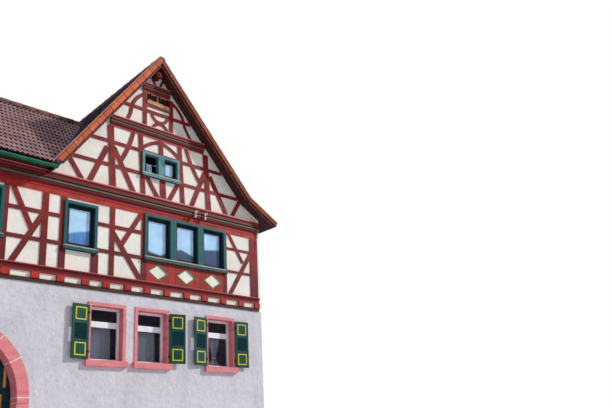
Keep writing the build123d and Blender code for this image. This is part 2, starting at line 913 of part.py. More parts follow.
with BuildPart() as gable_frame:
    with BuildSketch(street(-PROUD)):
        for side in (-1, 1):
            outer = GABLE_MIDDLE + side * OUTER_POST
            inner = GABLE_MIDDLE + side * INNER_POST
            gable_post(outer, GABLE_FOOT, MIDDLE_CORNICE, OUTER_POST_W)
            gable_post(inner, GABLE_FOOT, MIDDLE_CORNICE, INNER_POST_W)
            brace(gable_place(side, 1690, 0.633), gable_place(side, 2250, 0), 140)
            brace(gable_place(side, 2830, 0.356), gable_place(side, 2430, 0), 120)
            brace(gable_place(side, 1500, 0.656), gable_place(side, 940, 0), 140)
            brace(gable_place(side, 510, 0.322), gable_place(side, 170, 0))
            arched(
                gable_place(side, 880, 1),
                gable_place(side, 1030, 0.756),
                gable_place(side, 1290, 0.478),
                115,
            )
            arched(
                gable_place(side, 620, 0.783),
                gable_place(side, 330, 0.9),
                gable_place(side, 40, 0.961),
            )
        gable_post(GABLE_MIDDLE, GABLE_FOOT, GABLE_WINDOW[2], OUTER_POST_W)
        gable_post(GABLE_MIDDLE, GABLE_WINDOW[3], MIDDLE_CORNICE, INNER_POST_W)
        for middle in (LOWER_RAIL, UPPER_RAIL, LOFT_RAIL):
            upright(
                gable_left(middle + RAIL / 2),
                gable_right(middle + RAIL / 2),
                middle - RAIL / 2,
                middle + RAIL / 2,
            )
        cut_windows((GABLE_WINDOW,))
        for x in LOFT_POSTS:
            upright(x - LOFT_POST_W / 2, x + LOFT_POST_W / 2, LOFT_FOOT, TOP_CORNICE)
        arched((-390, LOFT_RAIL), (-140, LOFT_FOOT + 240), (150, LOFT_RAIL), 90)
        arched((-340, LOFT_FOOT), (-110, LOFT_FOOT + 200), (140, LOFT_FOOT), 90)
        arched(
            (-560, TOP_CORNICE - 50),
            (-930, LOFT_RAIL + 200),
            (-1060, LOFT_RAIL - 250),
            THIN_BRACE,
        )
        brace((-1060, LOFT_RAIL - 230), (-1160, LOFT_FOOT), THIN_BRACE)
        arched(
            (260, TOP_CORNICE - 50),
            (600, LOFT_RAIL + 240),
            (740, LOFT_RAIL - 150),
            85,
        )
        brace((735, LOFT_RAIL - 130), (960, LOFT_FOOT), 85)
        brace((-400, TOP_FOOT + 260), (-255, TOP_FOOT), 60)
        brace((-20, TOP_FOOT + 260), (-140, TOP_FOOT), 60)
        with Locations((RIDGE_X + BOSS - TENON, RIDGE_Z - BOSS_DROP)):
            Circle(BOSS)
        upright(HATCH[0], HATCH[1], HATCH[2], HATCH[3], Mode.SUBTRACT)
    extrude(amount=-TIMBER)
    with BuildSketch(street(-PROUD)):
        Polygon(*GABLE_OUTLINE, align=None)
        upright(
            LEFT, RIGHT, MIDDLE_CORNICE, MIDDLE_CORNICE + MIDDLE_CORNICE_H, Mode.SUBTRACT
        )
        upright(LEFT, RIGHT, TOP_CORNICE, TOP_CORNICE + TOP_CORNICE_H, Mode.SUBTRACT)
    extrude(amount=-TIMBER, mode=Mode.INTERSECT)
keep(gable_frame, "gable_frame")

with BuildPart() as gable_infill:
    with BuildSketch(street(SETBACK)):
        Polygon(*GABLE_OUTLINE, align=None)
        cut_windows((GABLE_WINDOW,))
        upright(HATCH[0], HATCH[1], HATCH[2], HATCH[3], Mode.SUBTRACT)
    extrude(amount=SETBACK - FRAME_WALL)
    add(gable_frame.part, mode=Mode.SUBTRACT)
keep(gable_infill, "gable_infill")

# Loft hatch: boards set back in its opening, with a weathered sill board
HATCH_BOARD = 30
HATCH_SILL = 180
HATCH_POST = (-230, -170)
with BuildPart() as loft_hatch:
    with BuildSketch(street(SETBACK + HATCH_BOARD)):
        upright(HATCH[0], HATCH[1], HATCH[2], HATCH[3])
    extrude(amount=-HATCH_BOARD)
    with BuildSketch(street(-PROUD)):
        upright(HATCH[0], HATCH[1], HATCH[2], HATCH[2] + HATCH_SILL)
        upright(HATCH_POST[0], HATCH_POST[1], HATCH[2] + HATCH_SILL, HATCH[3])
    extrude(amount=-(PROUD + SETBACK + HATCH_BOARD))
keep(loft_hatch, "loft_hatch")


# Framing of the hidden sides: sill, plate, posts, rails and corner braces
def plain_framing(left, right, windows):
    """The timbers of one plain storey in the present sketch."""
    upright(left, right, WALL_TOP, SILL_TOP)
    upright(left, right, PLATE_FOOT, PLATE_TOP)
    edges = [left, right - POST]
    for window in windows:
        edges += [window[0] - POST, window[1]]
    for edge in edges:
        upright(edge, edge + POST, SILL_TOP, PLATE_FOOT)
    for middle in (HIGH_RAIL, LOW_RAIL):
        upright(left, right, middle - RAIL / 2, middle + RAIL / 2)
    reach = STOREY * 0.42
    brace((left + POST, PLATE_FOOT - STOREY / 3), (left + reach + POST, SILL_TOP))
    brace((right - POST, PLATE_FOOT - STOREY / 3), (right - reach - POST, SILL_TOP))


with BuildPart() as right_frame:
    with BuildSketch(flank(RIGHT + PROUD)):
        plain_framing(FRAME_WALL, DEPTH - FRAME_WALL, FLANK_WINDOWS)
        cut_windows(FLANK_WINDOWS)
    extrude(amount=-TIMBER)
keep(right_frame, "right_frame")

with BuildPart() as right_infill:
    with BuildSketch(flank(RIGHT - SETBACK)):
        upright(FRAME_WALL, DEPTH - FRAME_WALL, WALL_TOP, under_right(RIGHT))
        cut_windows(FLANK_WINDOWS)
    extrude(amount=SETBACK - FRAME_WALL)
    add(right_frame.part, mode=Mode.SUBTRACT)
keep(right_infill, "right_infill")

BACK_OUTLINE = (
    (-RIGHT, WALL_TOP),
    (-LEFT, WALL_TOP),
    (-LEFT, under_left(LEFT)),
    (-RIDGE_X, RIDGE_Z),
    (-FLARE_X, under_right(FLARE_X)),
    (-RIGHT, under_right(RIGHT)),
)

BACK_GABLE_MIDDLE = 70
BACK_INNER_POST = 680
BACK_LOFT_POST = 400

with BuildPart() as back_frame:
    with BuildSketch(rear(DEPTH + PROUD)):
        plain_framing(-RIGHT, -LEFT, BACK_WINDOWS)
        upright(-RIGHT, -LEFT, GABLE_FOOT - PLATE, GABLE_FOOT)
        upright(-RIGHT, -LEFT, MIDDLE_CORNICE, MIDDLE_CORNICE + PLATE)
        upright(-RIGHT, -LEFT, LOWER_RAIL - RAIL / 2, LOWER_RAIL + RAIL / 2)
        for side in (-1, 1):
            for middle, foot, head in (
                (-GABLE_MIDDLE + side * OUTER_POST, GABLE_FOOT, MIDDLE_CORNICE),
                (BACK_GABLE_MIDDLE + side * BACK_INNER_POST, GABLE_FOOT, MIDDLE_CORNICE),
                (-RIDGE_X / 2 + side * BACK_LOFT_POST, MIDDLE_CORNICE, TOP_CORNICE),
            ):
                upright(middle - POST / 2, middle + POST / 2, foot, head)
            brace(
                (-GABLE_MIDDLE + side * 1600, stage(0.656)),
                (-GABLE_MIDDLE + side * 2350, GABLE_FOOT - PLATE),
            )
        upright(-RIGHT, -LEFT, TOP_CORNICE, TOP_CORNICE + PLATE)
        cut_windows(BACK_WINDOWS + (BACK_GABLE_WINDOW,))
    extrude(amount=-TIMBER)
    with BuildSketch(rear(DEPTH + PROUD)):
        Polygon(*BACK_OUTLINE, align=None)
    extrude(amount=-TIMBER, mode=Mode.INTERSECT)
keep(back_frame, "back_frame")

with BuildPart() as back_infill:
    with BuildSketch(rear(DEPTH - SETBACK)):
        Polygon(*BACK_OUTLINE, align=None)
        cut_windows(BACK_WINDOWS + (BACK_GABLE_WINDOW,))
    extrude(amount=SETBACK - FRAME_WALL)
    add(back_frame.part, mode=Mode.SUBTRACT)
keep(back_infill, "back_infill")

with BuildPart() as wing_rear_frame:
    with BuildSketch(rear(WING_DEPTH + PROUD)):
        plain_framing(-LEFT + SETBACK, -WING_LEFT, WING_BACK_WINDOWS)
        cut_windows(WING_BACK_WINDOWS)
    extrude(amount=-TIMBER)
    with BuildSketch(left_flank(LEFT - PROUD)):
        plain_framing(FRAME_WALL - DEPTH, -WING_DEPTH - PROUD, LEFT_WINDOWS)
        cut_windows(LEFT_WINDOWS)
    extrude(amount=-TIMBER)
keep(wing_rear_frame, "wing_rear_frame")

with BuildPart() as wing_rear_infill:
    with BuildSketch(rear(WING_DEPTH - SETBACK)):
        Polygon(
            (-LEFT - FRAME_WALL, WALL_TOP),
            (-LEFT - FRAME_WALL, PLATE_TOP + FLOOR),
            (-over_left_x(PLATE_TOP + FLOOR), PLATE_TOP + FLOOR),
            (-over_left_x(WING_WALL_HEAD), WING_WALL_HEAD),
            (-WING_LEFT, WING_WALL_HEAD),
            (-WING_LEFT, WALL_TOP),
            align=None,
        )
        cut_windows(WING_BACK_WINDOWS)
    extrude(amount=SETBACK - FRAME_WALL)
    with BuildSketch(left_flank(LEFT + SETBACK)):
        corner = SETBACK - WING_DEPTH - RUNNING
        upright(FRAME_WALL - DEPTH, corner, WALL_TOP, PLATE_TOP)
        cut_windows(LEFT_WINDOWS)
    extrude(amount=SETBACK - FRAME_WALL)
    add(wing_rear_frame.part, mode=Mode.SUBTRACT)
keep(wing_rear_infill, "wing_rear_infill")


# Floors
with BuildPart() as ground_floor:
    with BuildSketch(Plane.XY.offset(GROUND_FLOOR - FLOOR)):
        upright(LEFT + WALL, RIGHT - WALL, WALL, DEPTH - WALL)
    extrude(amount=FLOOR)
keep(ground_floor, "ground_floor")


def storey_floor(foot, thickness):
    """A floor over the main block and the wing, inside the framed walls."""
    with BuildSketch(Plane.XY.offset(foot)) as profile:
        Polygon(
            (WING_LEFT + PARTY_WALL, FRAME_WALL),
            (RIGHT - FRAME_WALL, FRAME_WALL),
            (RIGHT - FRAME_WALL, DEPTH - FRAME_WALL),
            (LEFT + FRAME_WALL, DEPTH - FRAME_WALL),
            (LEFT + FRAME_WALL, WING_DEPTH - FRAME_WALL),
            (WING_LEFT + PARTY_WALL, WING_DEPTH - FRAME_WALL),
            align=None,
        )
    extrude(profile.sketch, amount=thickness)


with BuildPart() as upper_floor:
    storey_floor(WALL_TOP, JOIST_TOP - WALL_TOP)
keep(upper_floor, "upper_floor")

with BuildPart() as attic_floor:
    storey_floor(PLATE_TOP, FLOOR)
keep(attic_floor, "attic_floor")


# Roof of the main block
def mitre(x, z, pitch, next_pitch):
    """The point on the roof's top over one on the right slope's underside."""
    lean = (pitch + next_pitch) / 2
    lift = ROOF / cos((pitch - next_pitch) / 2)
    return (x + lift * sin(lean), z + lift * cos(lean))


def slope(outline):
    """A slope of the main roof from its outline across the house."""
    with BuildSketch(street(-VERGE)) as profile:
        Polygon(*outline, align=None)
    extrude(profile.sketch, amount=-(DEPTH + 2 * VERGE))


with BuildPart() as main_roof_right:
    eave_z = under_right(RIGHT_EAVE_X)
    slope(
        (
            (RIDGE_X, RIDGE_Z),
            (FLARE_X, under_right(FLARE_X)),
            (RIGHT_EAVE_X, eave_z),
            mitre(RIGHT_EAVE_X, eave_z, FLARE_PITCH, FLARE_PITCH),
            mitre(FLARE_X, under_right(FLARE_X), RIGHT_PITCH, FLARE_PITCH),
            (RIDGE_X, RIDGE_Z + ROOF / cos(RIGHT_PITCH)),
        )
    )
keep(main_roof_right, "main_roof_right")

with BuildPart() as main_roof_left:
    eave_z = under_left(LEFT_EAVE_X)
    slope(
        (
            (RIDGE_X, RIDGE_Z),
            (RIDGE_X, RIDGE_Z + ROOF / cos(LEFT_PITCH)),
            (LEFT_EAVE_X - ROOF * sin(LEFT_PITCH), eave_z + ROOF * cos(LEFT_PITCH)),
            (LEFT_EAVE_X, eave_z),
        )
    )
    with BuildSketch(street(-VERGE)):
        upright(LEFT_EAVE_X - EAVE, RIDGE_X, WALL_TOP, GABLE_FOOT)
    extrude(amount=-(VERGE + FRAME_WALL), mode=Mode.SUBTRACT)
    with BuildSketch(street(FRAME_WALL)):
        upright(LEFT_EAVE_X - EAVE, RIDGE_X, WALL_TOP, PLATE_TOP + FLOOR)
    extrude(amount=FRAME_WALL - WING_DEPTH - PROUD, mode=Mode.SUBTRACT)
keep(main_roof_left, "main_roof_left")


# Roof of the wing, which runs into the main roof at two valleys
def below_main_roof():
    """The space under the top of the main roof's left slope."""
    low_z = WALL_TOP
    with BuildSketch(street(-2 * WING_EAVE)) as profile:
        Polygon(
            (RIDGE_X, RIDGE_Z + ROOF / cos(LEFT_PITCH)),
            (over_left_x(low_z), low_z),
            (RIDGE_X, low_z),
            align=None,
        )
    extrude(profile.sketch, amount=-(WING_DEPTH + 4 * WING_EAVE), mode=Mode.SUBTRACT)


def wing_slope(side):
    """One slope of the wing: side -1 faces the street and 1 the back."""
    eave_y = WING_RIDGE_Y + side * (WING_RIDGE_Y + WING_EAVE)
    eave_z = under_wing(eave_y)
    with BuildSketch(flank(WING_LEFT)) as profile:
        Polygon(
            (WING_RIDGE_Y, WING_RIDGE_Z),
            (WING_RIDGE_Y, WING_RIDGE_Z + ROOF / cos(WING_PITCH)),
            (eave_y + side * ROOF * sin(WING_PITCH), eave_z + ROOF * cos(WING_PITCH)),
            (eave_y, eave_z),
            align=None,
        )
    extrude(profile.sketch, amount=RIDGE_X - WING_LEFT)
    below_main_roof()


with BuildPart() as wing_roof_front:
    wing_slope(-1)
keep(wing_roof_front, "wing_roof_front")

with BuildPart() as wing_roof_back:
    wing_slope(1)
keep(wing_roof_back, "wing_roof_back")


# Ridge tiles, bedded on the two slopes
with BuildPart() as ridge_tiles:
    left_top = RIDGE_Z + ROOF / cos(LEFT_PITCH)
    right_top = RIDGE_Z + ROOF / cos(RIGHT_PITCH)
    with BuildSketch(street(-VERGE)):
        with Locations((RIDGE_X, RIDGE_Z + ROOF)):
            Circle(RIDGE_TILE)
        Polygon(
            (RIDGE_X, left_top),
            (RIDGE_X, right_top),
            (RIDGE_X + RIDGE_SEAT, right_top - RIDGE_SEAT * tan(RIGHT_PITCH)),
            (RIDGE_X - RIDGE_SEAT, left_top - RIDGE_SEAT * tan(LEFT_PITCH)),
            align=None,
            mode=Mode.SUBTRACT,
        )
    extrude(amount=-(DEPTH + 2 * VERGE))
    with BuildSketch(flank(WING_LEFT)):
        top = WING_RIDGE_Z + ROOF / cos(WING_PITCH)
        with Locations((WING_RIDGE_Y, WING_RIDGE_Z + ROOF)):
            Circle(RIDGE_TILE)
        Polygon(
            (WING_RIDGE_Y, top),
            (WING_RIDGE_Y - RIDGE_SEAT, top - RIDGE_SEAT * tan(WING_PITCH)),
            (WING_RIDGE_Y + RIDGE_SEAT, top - RIDGE_SEAT * tan(WING_PITCH)),
            align=None,
            mode=Mode.SUBTRACT,
        )
    extrude(amount=over_left_x(WING_RIDGE_Z) - WING_LEFT)
keep(ridge_tiles, "ridge_tiles")

# Boxed eaves of the wing, which sit on the cornice on the street side and on
# the plate's boards at the back, and the gutter on the street side
EAVE_BOARD = 80
with BuildPart() as wing_eaves:
    with BuildSketch(flank(WING_LEFT)):
        foot = under_wing(-WING_EAVE) - EAVE_LIP
        Polygon(
            (SETBACK, under_wing(SETBACK)),
            (-WING_EAVE, under_wing(-WING_EAVE)),
            (-WING_EAVE, foot),
            (-WING_EAVE + EAVE_BOARD, foot),
            (-CORNICE_REACH, GABLE_FOOT),
            (SETBACK, GABLE_FOOT),
            align=None,
        )
    extrude(amount=over_left_x(GABLE_FOOT) - WING_LEFT)
    with BuildSketch(flank(WING_LEFT)):
        near = WING_DEPTH - SETBACK
        outer = WING_DEPTH + WING_EAVE
        foot = under_wing(outer) - FASCIA
        Polygon(
            (near, under_wing(near)),
            (outer, under_wing(outer)),
            (outer, foot),
            (outer - EAVE_BOARD, foot),
            (near, PLATE_TOP + EAVE_BOARD),
            align=None,
        )
    extrude(amount=LEFT_EAVE_X - EAVE - WING_LEFT)
keep(wing_eaves, "wing_eaves")

with BuildPart() as gutter:
    with BuildSketch(flank(WING_LEFT)):
        with Locations((-WING_EAVE - GUTTER, under_wing(-WING_EAVE) - GUTTER_METAL)):
            Circle(GUTTER)
            Circle(GUTTER - GUTTER_METAL, mode=Mode.SUBTRACT)
            with Locations((0, GUTTER / 2)):
                Rectangle(2 * GUTTER, GUTTER, mode=Mode.SUBTRACT)
    extrude(amount=over_left_x(GABLE_FOOT) + 2 * GUTTER - WING_LEFT)
keep(gutter, "gutter")

# Gate leaves, hinged on pins behind the arch, and shutters on the surrounds
GATE_AXIS = ARCH_OUTER - 70
GATE_AXIS_OUT = 16
GATE_AXIS_Y = ARCH_DEPTH + LEAF_BEHIND + LEAF + GATE_AXIS_OUT
GATE_EYES = (450, SPRING - 350)
GATE_EYE_H = 80
GATE_RAILS = (LEAF_FOOT, 950, SPRING + 110)
GATE_RAIL = 140
STRAP = 12
STRAP_L = 700
BRACKET = 30


def gate_leaf(side):
    """A leaf: side -1 is hung on the left jamb and 1 on the right."""
    radius = ARCH_INNER + LEAF_LAP
    edge = GATE_X + side * radius
    near = GATE_X + side * LEAF_GAP / 2
    with BuildSketch(street(ARCH_DEPTH + LEAF_BEHIND)) as profile:
        with Locations((GATE_X, SPRING)):
            Circle(radius)
        upright(GATE_X - radius, GATE_X + radius, LEAF_FOOT, SPRING)
        upright(
            GATE_X - radius,
            GATE_X + radius,
            SPRING - 2 * radius,
            LEAF_FOOT,
            Mode.SUBTRACT,
        )
        upright(
            near,
            GATE_X - side * 2 * radius,
            SPRING - 2 * radius,
            SPRING + 2 * radius,
            Mode.SUBTRACT,
        )
        for foot, head in zip(GATE_RAILS, GATE_RAILS[1:]):
            place = near + side * (GATE_RAIL + SLAT_GAP / 2)
            while abs(place - near) < radius - 2 * GATE_RAIL:
                upright(
                    place - SLAT_GAP / 2,
                    place + SLAT_GAP / 2,
                    foot + GATE_RAIL,
                    head,
                    Mode.SUBTRACT,
                )
                place += side * (SLAT + SLAT_GAP)
    extrude(profile.sketch, amount=-LEAF)
    axis_x = GATE_X + side * GATE_AXIS
    back = ARCH_DEPTH + LEAF_BEHIND + LEAF
    for foot in GATE_EYES:
        with BuildSketch(Plane.XY.offset(foot)) as profile:
            upright(edge - side * STRAP_L, axis_x, back, back + STRAP)
            with Locations((axis_x, GATE_AXIS_Y)):
                Circle(GATE_EYE)
                Circle(GATE_PIN + RUNNING, mode=Mode.SUBTRACT)
        extrude(profile.sketch, amount=GATE_EYE_H)


with BuildPart() as gate_leaf_left:
    gate_leaf(-1)
keep(gate_leaf_left, "gate_leaf_left")

with BuildPart() as gate_leaf_right:
    gate_leaf(1)
keep(gate_leaf_right, "gate_leaf_right")

# Each shutter: window centre, side of the window it hangs on, and the
# angle it stands off the wall
SHUTTERS = (
    ("left_window_shutter", STREET_CENTRES[0], -1, 5),
    ("middle_window_shutter", STREET_CENTRES[1], 1, 12),
    ("right_window_shutter_left", STREET_CENTRES[2], -1, 6),
    ("right_window_shutter_right", STREET_CENTRES[2], 1, 5),
)
EYES = (OPENING_FOOT + 170, OPENING_FOOT + OPENING_H - 230)
SHUTTER_CLEAR = 16
PANEL_SINK = 9
PANEL_RIM = 22
LOUVRE = 44
LOUVRE_BOARD = 8
LOUVRE_SINK = 2


def shutter_axis(centre, side):
    """Where a shutter's hinge pins stand along the street front."""
    return centre + side * (OPENING_W / 2 + SHUTTER_LAP)


def shutter(centre, side, angle):
    """A leaf of stiles, rails, two sunk panels and louvres, with its eyes."""
    axis_x = shutter_axis(centre, side)
    along = Vector(side * cos(angle), -sin(angle), 0)
    normal = Vector(-sin(angle), -side * cos(angle), 0)
    hinge = Vector(axis_x, -SHUTTER_AXIS, 0)
    leaf = Plane(origin=hinge, x_dir=along, z_dir=normal)
    foot = OPENING_FOOT + SHUTTER_GAP
    head = OPENING_FOOT + OPENING_H - SHUTTER_GAP
    far = SHUTTER_CLEAR + SHUTTER_W
    inner = SHUTTER_CLEAR + SHUTTER_STILE
    outer = far - SHUTTER_STILE
    louvre_foot = (foot + head - SHUTTER_LOUVRES) / 2
    louvre_head = louvre_foot + SHUTTER_LOUVRES
    with BuildSketch(leaf.offset(SHUTTER / 2)) as profile:
        upright(SHUTTER_CLEAR, far, foot, head)
        upright(inner, outer, louvre_foot, louvre_head, Mode.SUBTRACT)
    extrude(profile.sketch, amount=-SHUTTER)
    for low in (foot + SHUTTER_STILE, head - SHUTTER_STILE - SHUTTER_PANEL):
        with BuildSketch(leaf.offset(side * SHUTTER / 2)) as profile:
            upright(inner, outer, low, low + SHUTTER_PANEL)
            upright(
                inner + PANEL_RIM,
                outer - PANEL_RIM,
                low + PANEL_RIM,
                low + SHUTTER_PANEL - PANEL_RIM,
                Mode.SUBTRACT,
            )
        extrude(profile.sketch, amount=-side * PANEL_SINK, mode=Mode.SUBTRACT)
    reach = SHUTTER / 2 - LOUVRE_SINK
    across = Plane(hinge + along * inner, x_dir=normal * -side, z_dir=along)
    with BuildSketch(across) as profile:
        count = round(SHUTTER_LOUVRES / LOUVRE)
        for number in range(count):
            low = louvre_foot + number * SHUTTER_LOUVRES / count
            points = (
                (-reach, low + LOUVRE * 0.9),
                (-reach, low + LOUVRE * 0.9 + LOUVRE_BOARD),
                (reach, low + LOUVRE * 0.2 + LOUVRE_BOARD),
                (reach, low + LOUVRE * 0.2),
            )
            Polygon(*((x, side * z) for x, z in points), align=None)
    extrude(profile.sketch, amount=outer - inner)
    for low in EYES:
        with BuildSketch(Plane(hinge + Vector(0, 0, low), x_dir=along)) as profile:
            with Locations((SHUTTER_CLEAR / 2 + EYE / 2, 0)):
                Rectangle(SHUTTER_CLEAR, EYE)
            Circle(EYE)
            Circle(PIN + RUNNING, mode=Mode.SUBTRACT)
        extrude(profile.sketch, amount=EYE_H)


for shutter_name, window_centre, window_side, rest_angle in SHUTTERS:
    with BuildPart() as shutter_leaf:
        shutter(window_centre, window_side, rest_angle)
    keep(shutter_leaf, shutter_name)

# Hinge pins: on the surrounds for the shutters, on the masonry for the gate
with BuildPart() as hinge_pins:
    for shutter_name, window_centre, window_side, rest_angle in SHUTTERS:
        axis_x = shutter_axis(window_centre, window_side)
        for low in EYES:
            with BuildSketch(Plane.XY.offset(low - RUNNING - EYE)):
                upright(axis_x - PIN, axis_x + PIN, -SHUTTER_AXIS, -STONE_PROUD)
                with Locations((axis_x, -SHUTTER_AXIS)):
                    Circle(PIN)
            extrude(amount=EYE)
            with BuildSketch(Plane.XY.offset(low - RUNNING)):
                with Locations((axis_x, -SHUTTER_AXIS)):
                    Circle(PIN)
            extrude(amount=EYE_H + EYE / 2)
    for side in (-1, 1):
        axis_x = GATE_X + side * GATE_AXIS
        for low in GATE_EYES:
            with BuildSketch(Plane.XY.offset(low - RUNNING - BRACKET)):
                upright(
                    axis_x,
                    GATE_X + side * ARCH_OUTER,
                    GATE_AXIS_Y - GATE_PIN,
                    GATE_AXIS_Y + GATE_PIN,
                )
                with Locations((axis_x, GATE_AXIS_Y)):
                    Circle(GATE_PIN)
            extrude(amount=BRACKET)
            with BuildSketch(Plane.XY.offset(low - RUNNING)):
                with Locations((axis_x, GATE_AXIS_Y)):
                    Circle(GATE_PIN)
            extrude(amount=GATE_EYE_H + GATE_PIN)
keep(hinge_pins, "hinge_pins")
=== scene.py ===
"""The looks of a half timbered house: a gable to the street and a wing over a cart gate."""

import json
import math

import bmesh
import bpy
from bpy.props import FloatProperty, FloatVectorProperty, IntProperty, PointerProperty
from mathutils import Matrix, Vector


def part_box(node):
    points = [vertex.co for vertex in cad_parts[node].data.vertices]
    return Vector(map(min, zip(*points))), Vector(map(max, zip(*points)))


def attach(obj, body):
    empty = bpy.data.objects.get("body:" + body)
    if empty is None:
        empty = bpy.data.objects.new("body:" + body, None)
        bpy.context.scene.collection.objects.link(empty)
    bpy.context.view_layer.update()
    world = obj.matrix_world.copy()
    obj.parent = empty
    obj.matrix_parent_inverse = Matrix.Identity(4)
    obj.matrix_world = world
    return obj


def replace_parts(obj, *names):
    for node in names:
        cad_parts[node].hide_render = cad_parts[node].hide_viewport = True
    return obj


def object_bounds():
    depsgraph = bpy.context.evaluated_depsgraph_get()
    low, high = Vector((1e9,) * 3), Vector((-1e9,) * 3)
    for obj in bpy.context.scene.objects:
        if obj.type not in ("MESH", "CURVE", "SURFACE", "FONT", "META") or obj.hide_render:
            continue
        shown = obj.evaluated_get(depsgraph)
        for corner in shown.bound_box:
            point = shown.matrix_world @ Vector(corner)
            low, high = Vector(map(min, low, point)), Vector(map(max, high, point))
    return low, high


bl_info = {
    "name": "Half Timbered House",
    "version": (1, 0, 0),
    "blender": (4, 5, 0),
    "location": "View3D > Sidebar > House",
    "description": "Dresses the fixed frame of a half timbered house",
    "category": "Object",
}

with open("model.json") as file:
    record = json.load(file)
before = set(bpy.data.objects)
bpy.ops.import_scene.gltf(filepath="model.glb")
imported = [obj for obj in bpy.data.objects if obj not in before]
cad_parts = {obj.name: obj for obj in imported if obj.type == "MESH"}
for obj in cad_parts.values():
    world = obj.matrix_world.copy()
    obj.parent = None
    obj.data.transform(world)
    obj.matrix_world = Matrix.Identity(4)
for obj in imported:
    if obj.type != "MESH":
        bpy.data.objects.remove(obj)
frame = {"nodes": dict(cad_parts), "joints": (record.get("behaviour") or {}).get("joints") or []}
NODES = frame["nodes"]
JOINTS = {joint["child"]: joint for joint in frame["joints"]}
CAD_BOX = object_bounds()
UP = Vector((0, 0, 1))
STREET = Matrix()


def srgb(red, green, blue):
    """A colour from 0 to 255 as linear light."""

    def linear(value):
        """One part of the colour."""
        value /= 255
        return value / 12.92 if value <= 0.04045 else ((value + 0.055) / 1.055) ** 2.4

    return (linear(red), linear(green), linear(blue))


# Places read from the frame, in metres
ARCH_LOW, ARCH_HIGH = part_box("gate_arch")
ARCH_X = (ARCH_LOW.x + ARCH_HIGH.x) / 2
SPRING = ARCH_LOW.z
SILL_LOW, SILL_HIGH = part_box("sill_beam")
CORNICE_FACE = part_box("cornices")[0].y
GUTTER_LOW, GUTTER_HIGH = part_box("gutter")
RIDGE_LOW, RIDGE_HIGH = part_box("ridge_tiles")
HATCH_LOW, HATCH_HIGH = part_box("loft_hatch")

# Places and sizes of the frame that its boxes don't give, in metres. A moulding is its
# foot and head, and an upper sill its left and right edge and its foot.
ROOF_THICKNESS = 0.14
RIDGE_X = -0.286
RIDGE_RADIUS = 0.13
WING_RIDGE = Vector((0, 3.0, 10.5725))
MOULDINGS = ((6.99, 7.42), (9.22, 9.55), (10.63, 10.92))
LOWER_MIDDLES = (-1.59, -0.285, 1.96)
LOWER_HALF = 0.44
LOWER_FOOT = 2.78
LOWER_HEAD = 4.15
SURROUND = 0.085
TRANSOM_FOOT = 3.64
FRAME_BACK = 0.25
UPPER_SILLS = (
    (-6.19, -4.31, 5.48),
    (-2.84, -1.95, 5.48),
    (-0.57, 2.19, 5.56),
    (-0.68, 0.54, 8.00),
)
SILL_BOARD = 0.085
OPEN_LIGHT = (-0.604, -0.1675)

# The least distance between pieces, which also tells faces apart, in metres
CLEARANCE = 0.001


# Sizes and colours that a user would change
def length(name, default, description):
    """A size in metres for the panel."""
    return FloatProperty(
        name=name,
        description=description,
        default=default,
        min=0.0,
        unit="LENGTH",
        subtype="DISTANCE",
        precision=4,
    )


def colour(name, default, description):
    """A colour for the panel."""
    return FloatVectorProperty(
        name=name,
        description=description,
        default=srgb(*default),
        size=3,
        min=0.0,
        max=1.0,
        subtype="COLOR",
    )


class HouseSizes(bpy.types.PropertyGroup):
    """Sizes of the pieces that repeat."""

    tile_width: length("Tile width", 0.24, "Cover width of a roof tile")
    tile_gauge: length("Tile gauge", 0.32, "Visible length of a roof tile")
    tile_wave: length("Tile wave", 0.027, "Depth of a tile's two troughs")
    tile_lift: length("Tile lift", 0.023, "How far a tile's foot lies over the next")
    tile_bed: length("Tile bed", 0.08, "Thickness of tiles and battens")
    verge_gauge: length("Verge gauge", 0.33, "Visible length of a verge tile")
    verge_drop: length("Verge drop", 0.1, "Height of a verge tile's outer face")
    ridge_length: length("Ridge tile length", 0.4, "Visible length of a ridge tile")
    valley: length("Valley", 0.032, "Clear width on each side of a valley")
    joint: length("Stone joint", 0.022, "Width of the joints between stones")
    board: length("Board width", 0.16, "Width of a soffit or floor board")
    stripe: length("Gate stripe", 0.062, "Width of the stripes above the gate's rail")
    slat_stripe: length("Slat stripe", 0.042, "Width of the stripes on the slats")
    line: length("Shutter line", 0.03, "Width of the painted mouldings")
    fold: length("Curtain fold", 0.06, "Spacing of the curtain folds")
    bracket_step: length("Bracket spacing", 0.72, "Spacing of the gutter brackets")
    seed: IntProperty(name="Seed", description="Seed of the uneven laying", default=7)


